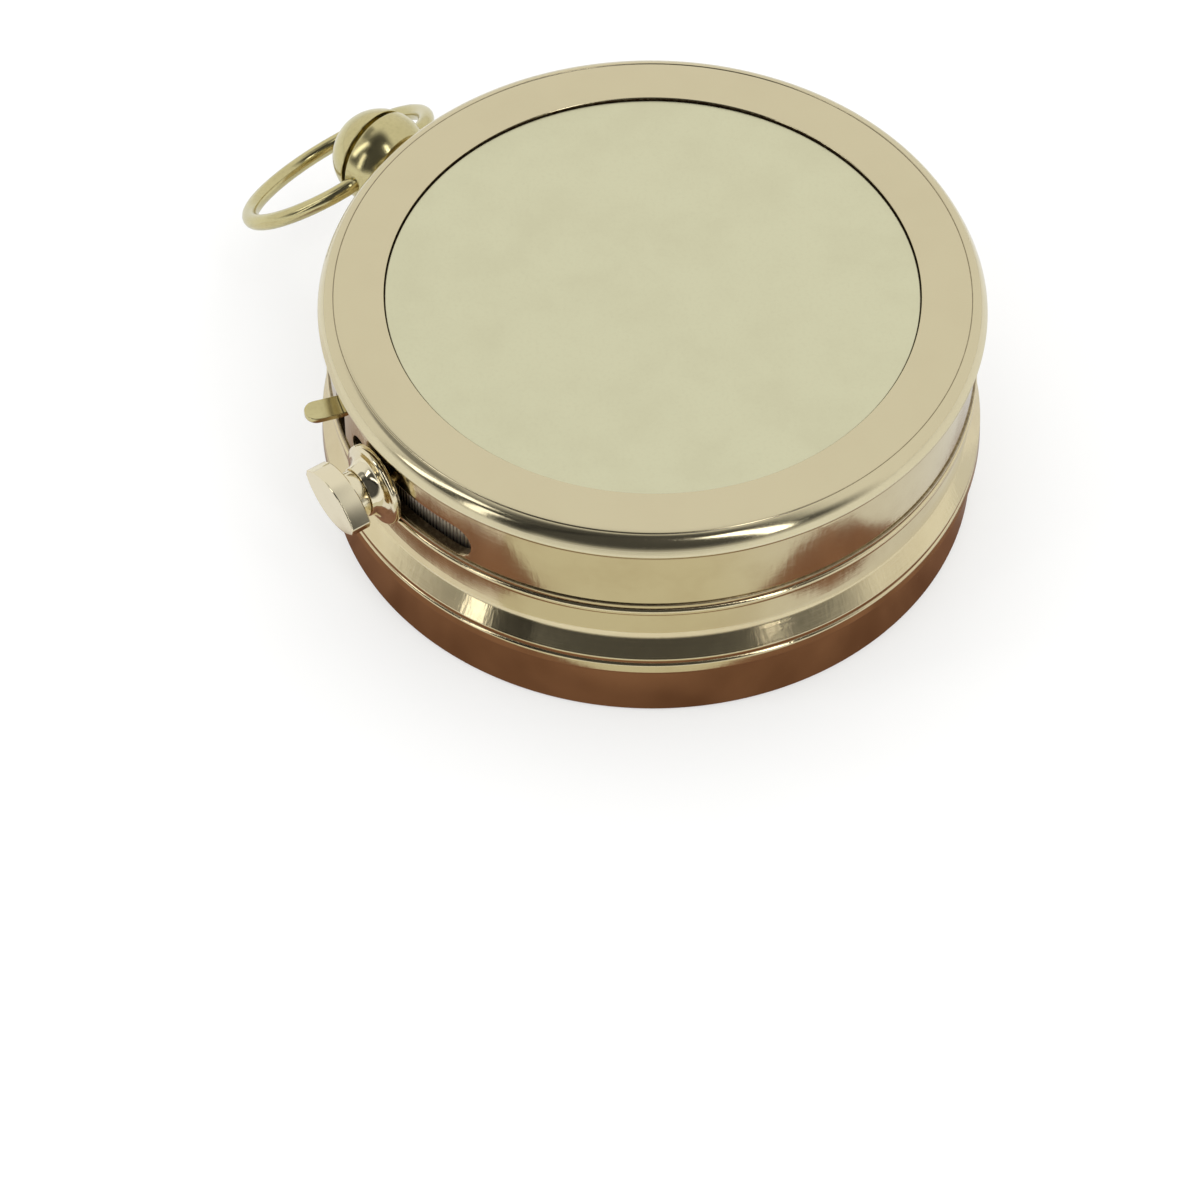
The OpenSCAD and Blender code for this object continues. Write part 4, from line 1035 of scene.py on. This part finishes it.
# %% Room
def room():
    world = bpy.data.worlds.new("room")
    world.use_nodes = True
    bpy.context.scene.world = world
    paint = Paint(None, tree=world.node_tree, shader="Background")
    x, y, z = paint.split(paint.node("ShaderNodeTexCoord", output=0))
    sides = 0.5 * x.math("ABSOLUTE") + 0.35 * paint.ramp(x, 0.1, 0.6)
    behind = paint.ramp(y + sides, 0.08, 0.55)
    low = 0.8 * (1 - paint.ramp(z, -0.04, 0.18))
    azimuth = paint.number("ARCTAN2", y, x)
    stand = azimuth.band(-2.38, -2.2, 0.04) * 0.7
    beam = azimuth.band(2.05, 2.95, 0.08) * z.band(0.79, 0.9, 0.03) * 0.7
    level = (0.07 + 0.85 * behind.math("MAXIMUM", low)) * (1 - stand) * (1 - beam)
    glossy, camera = paint.node("ShaderNodeLightPath", output=("Is Glossy Ray", "Is Camera Ray"))
    paint.set("Color", (1.0, 1.0, 0.99, 1))
    paint.set("Strength", glossy * level + (1 - glossy) * (0.9 + camera * 0.1))


room()
print("room is bright behind")

# %% Lamps
LAMP_AIM_Z = 0.02


def lamp(name, az, elevation, distance, wide, high, watts, mirrored=True):
    """An area lamp in metres that looks at the compass from a direction in degrees."""
    light = bpy.data.lights.new(name, "AREA")
    light.shape, light.size, light.size_y, light.energy = "RECTANGLE", wide, high, watts
    made = bpy.data.objects.new(name, light)
    a, e = math.radians(az), math.radians(elevation)
    way = Vector((math.cos(a) * math.cos(e), math.sin(a) * math.cos(e), math.sin(e)))
    made.location = way * distance + Vector((0, 0, LAMP_AIM_Z))
    made.rotation_euler = way.to_track_quat("Z", "Y").to_euler()
    made.visible_glossy = mirrored
    bpy.context.scene.collection.objects.link(made)
    print(f"{name}: {watts} W")


lamp("overhead", 100, 75, 0.9, 0.9, 0.9, 3.0, mirrored=False)
lamp("soft_box_left", -142, 22, 0.75, 0.09, 0.5, 0.3)
lamp("soft_box_far_left", -166, 40, 0.75, 0.12, 0.6, 0.5)
lamp("soft_box_right", -54, 40, 0.75, 0.11, 0.9, 1.25)

# %% [markdown]
# ## Camera
# The camera stands in front, a good half metre away, and looks down by 51 degrees through a long lens.

# %% Camera at the photograph's angle
CAMERA_AT, LOOKS_DOWN, SENSOR, LENS = (-0.00588, -0.36111, 0.41773), 50.87, 36.0, 142.2
camera = bpy.data.cameras.new("camera")
camera.sensor_width, camera.lens = SENSOR, LENS
viewer = bpy.data.objects.new("camera", camera)
viewer.location = CAMERA_AT
viewer.rotation_euler = (math.radians(90 - LOOKS_DOWN), 0, 0)
bpy.context.scene.collection.objects.link(viewer)
bpy.context.scene.camera = viewer
bpy.context.scene.view_settings.view_transform = "Standard"
print("camera", round(Vector(CAMERA_AT).length, 3), "m from the foot")

# %% [markdown]
# ## End

# %% End
print("the scene is built")
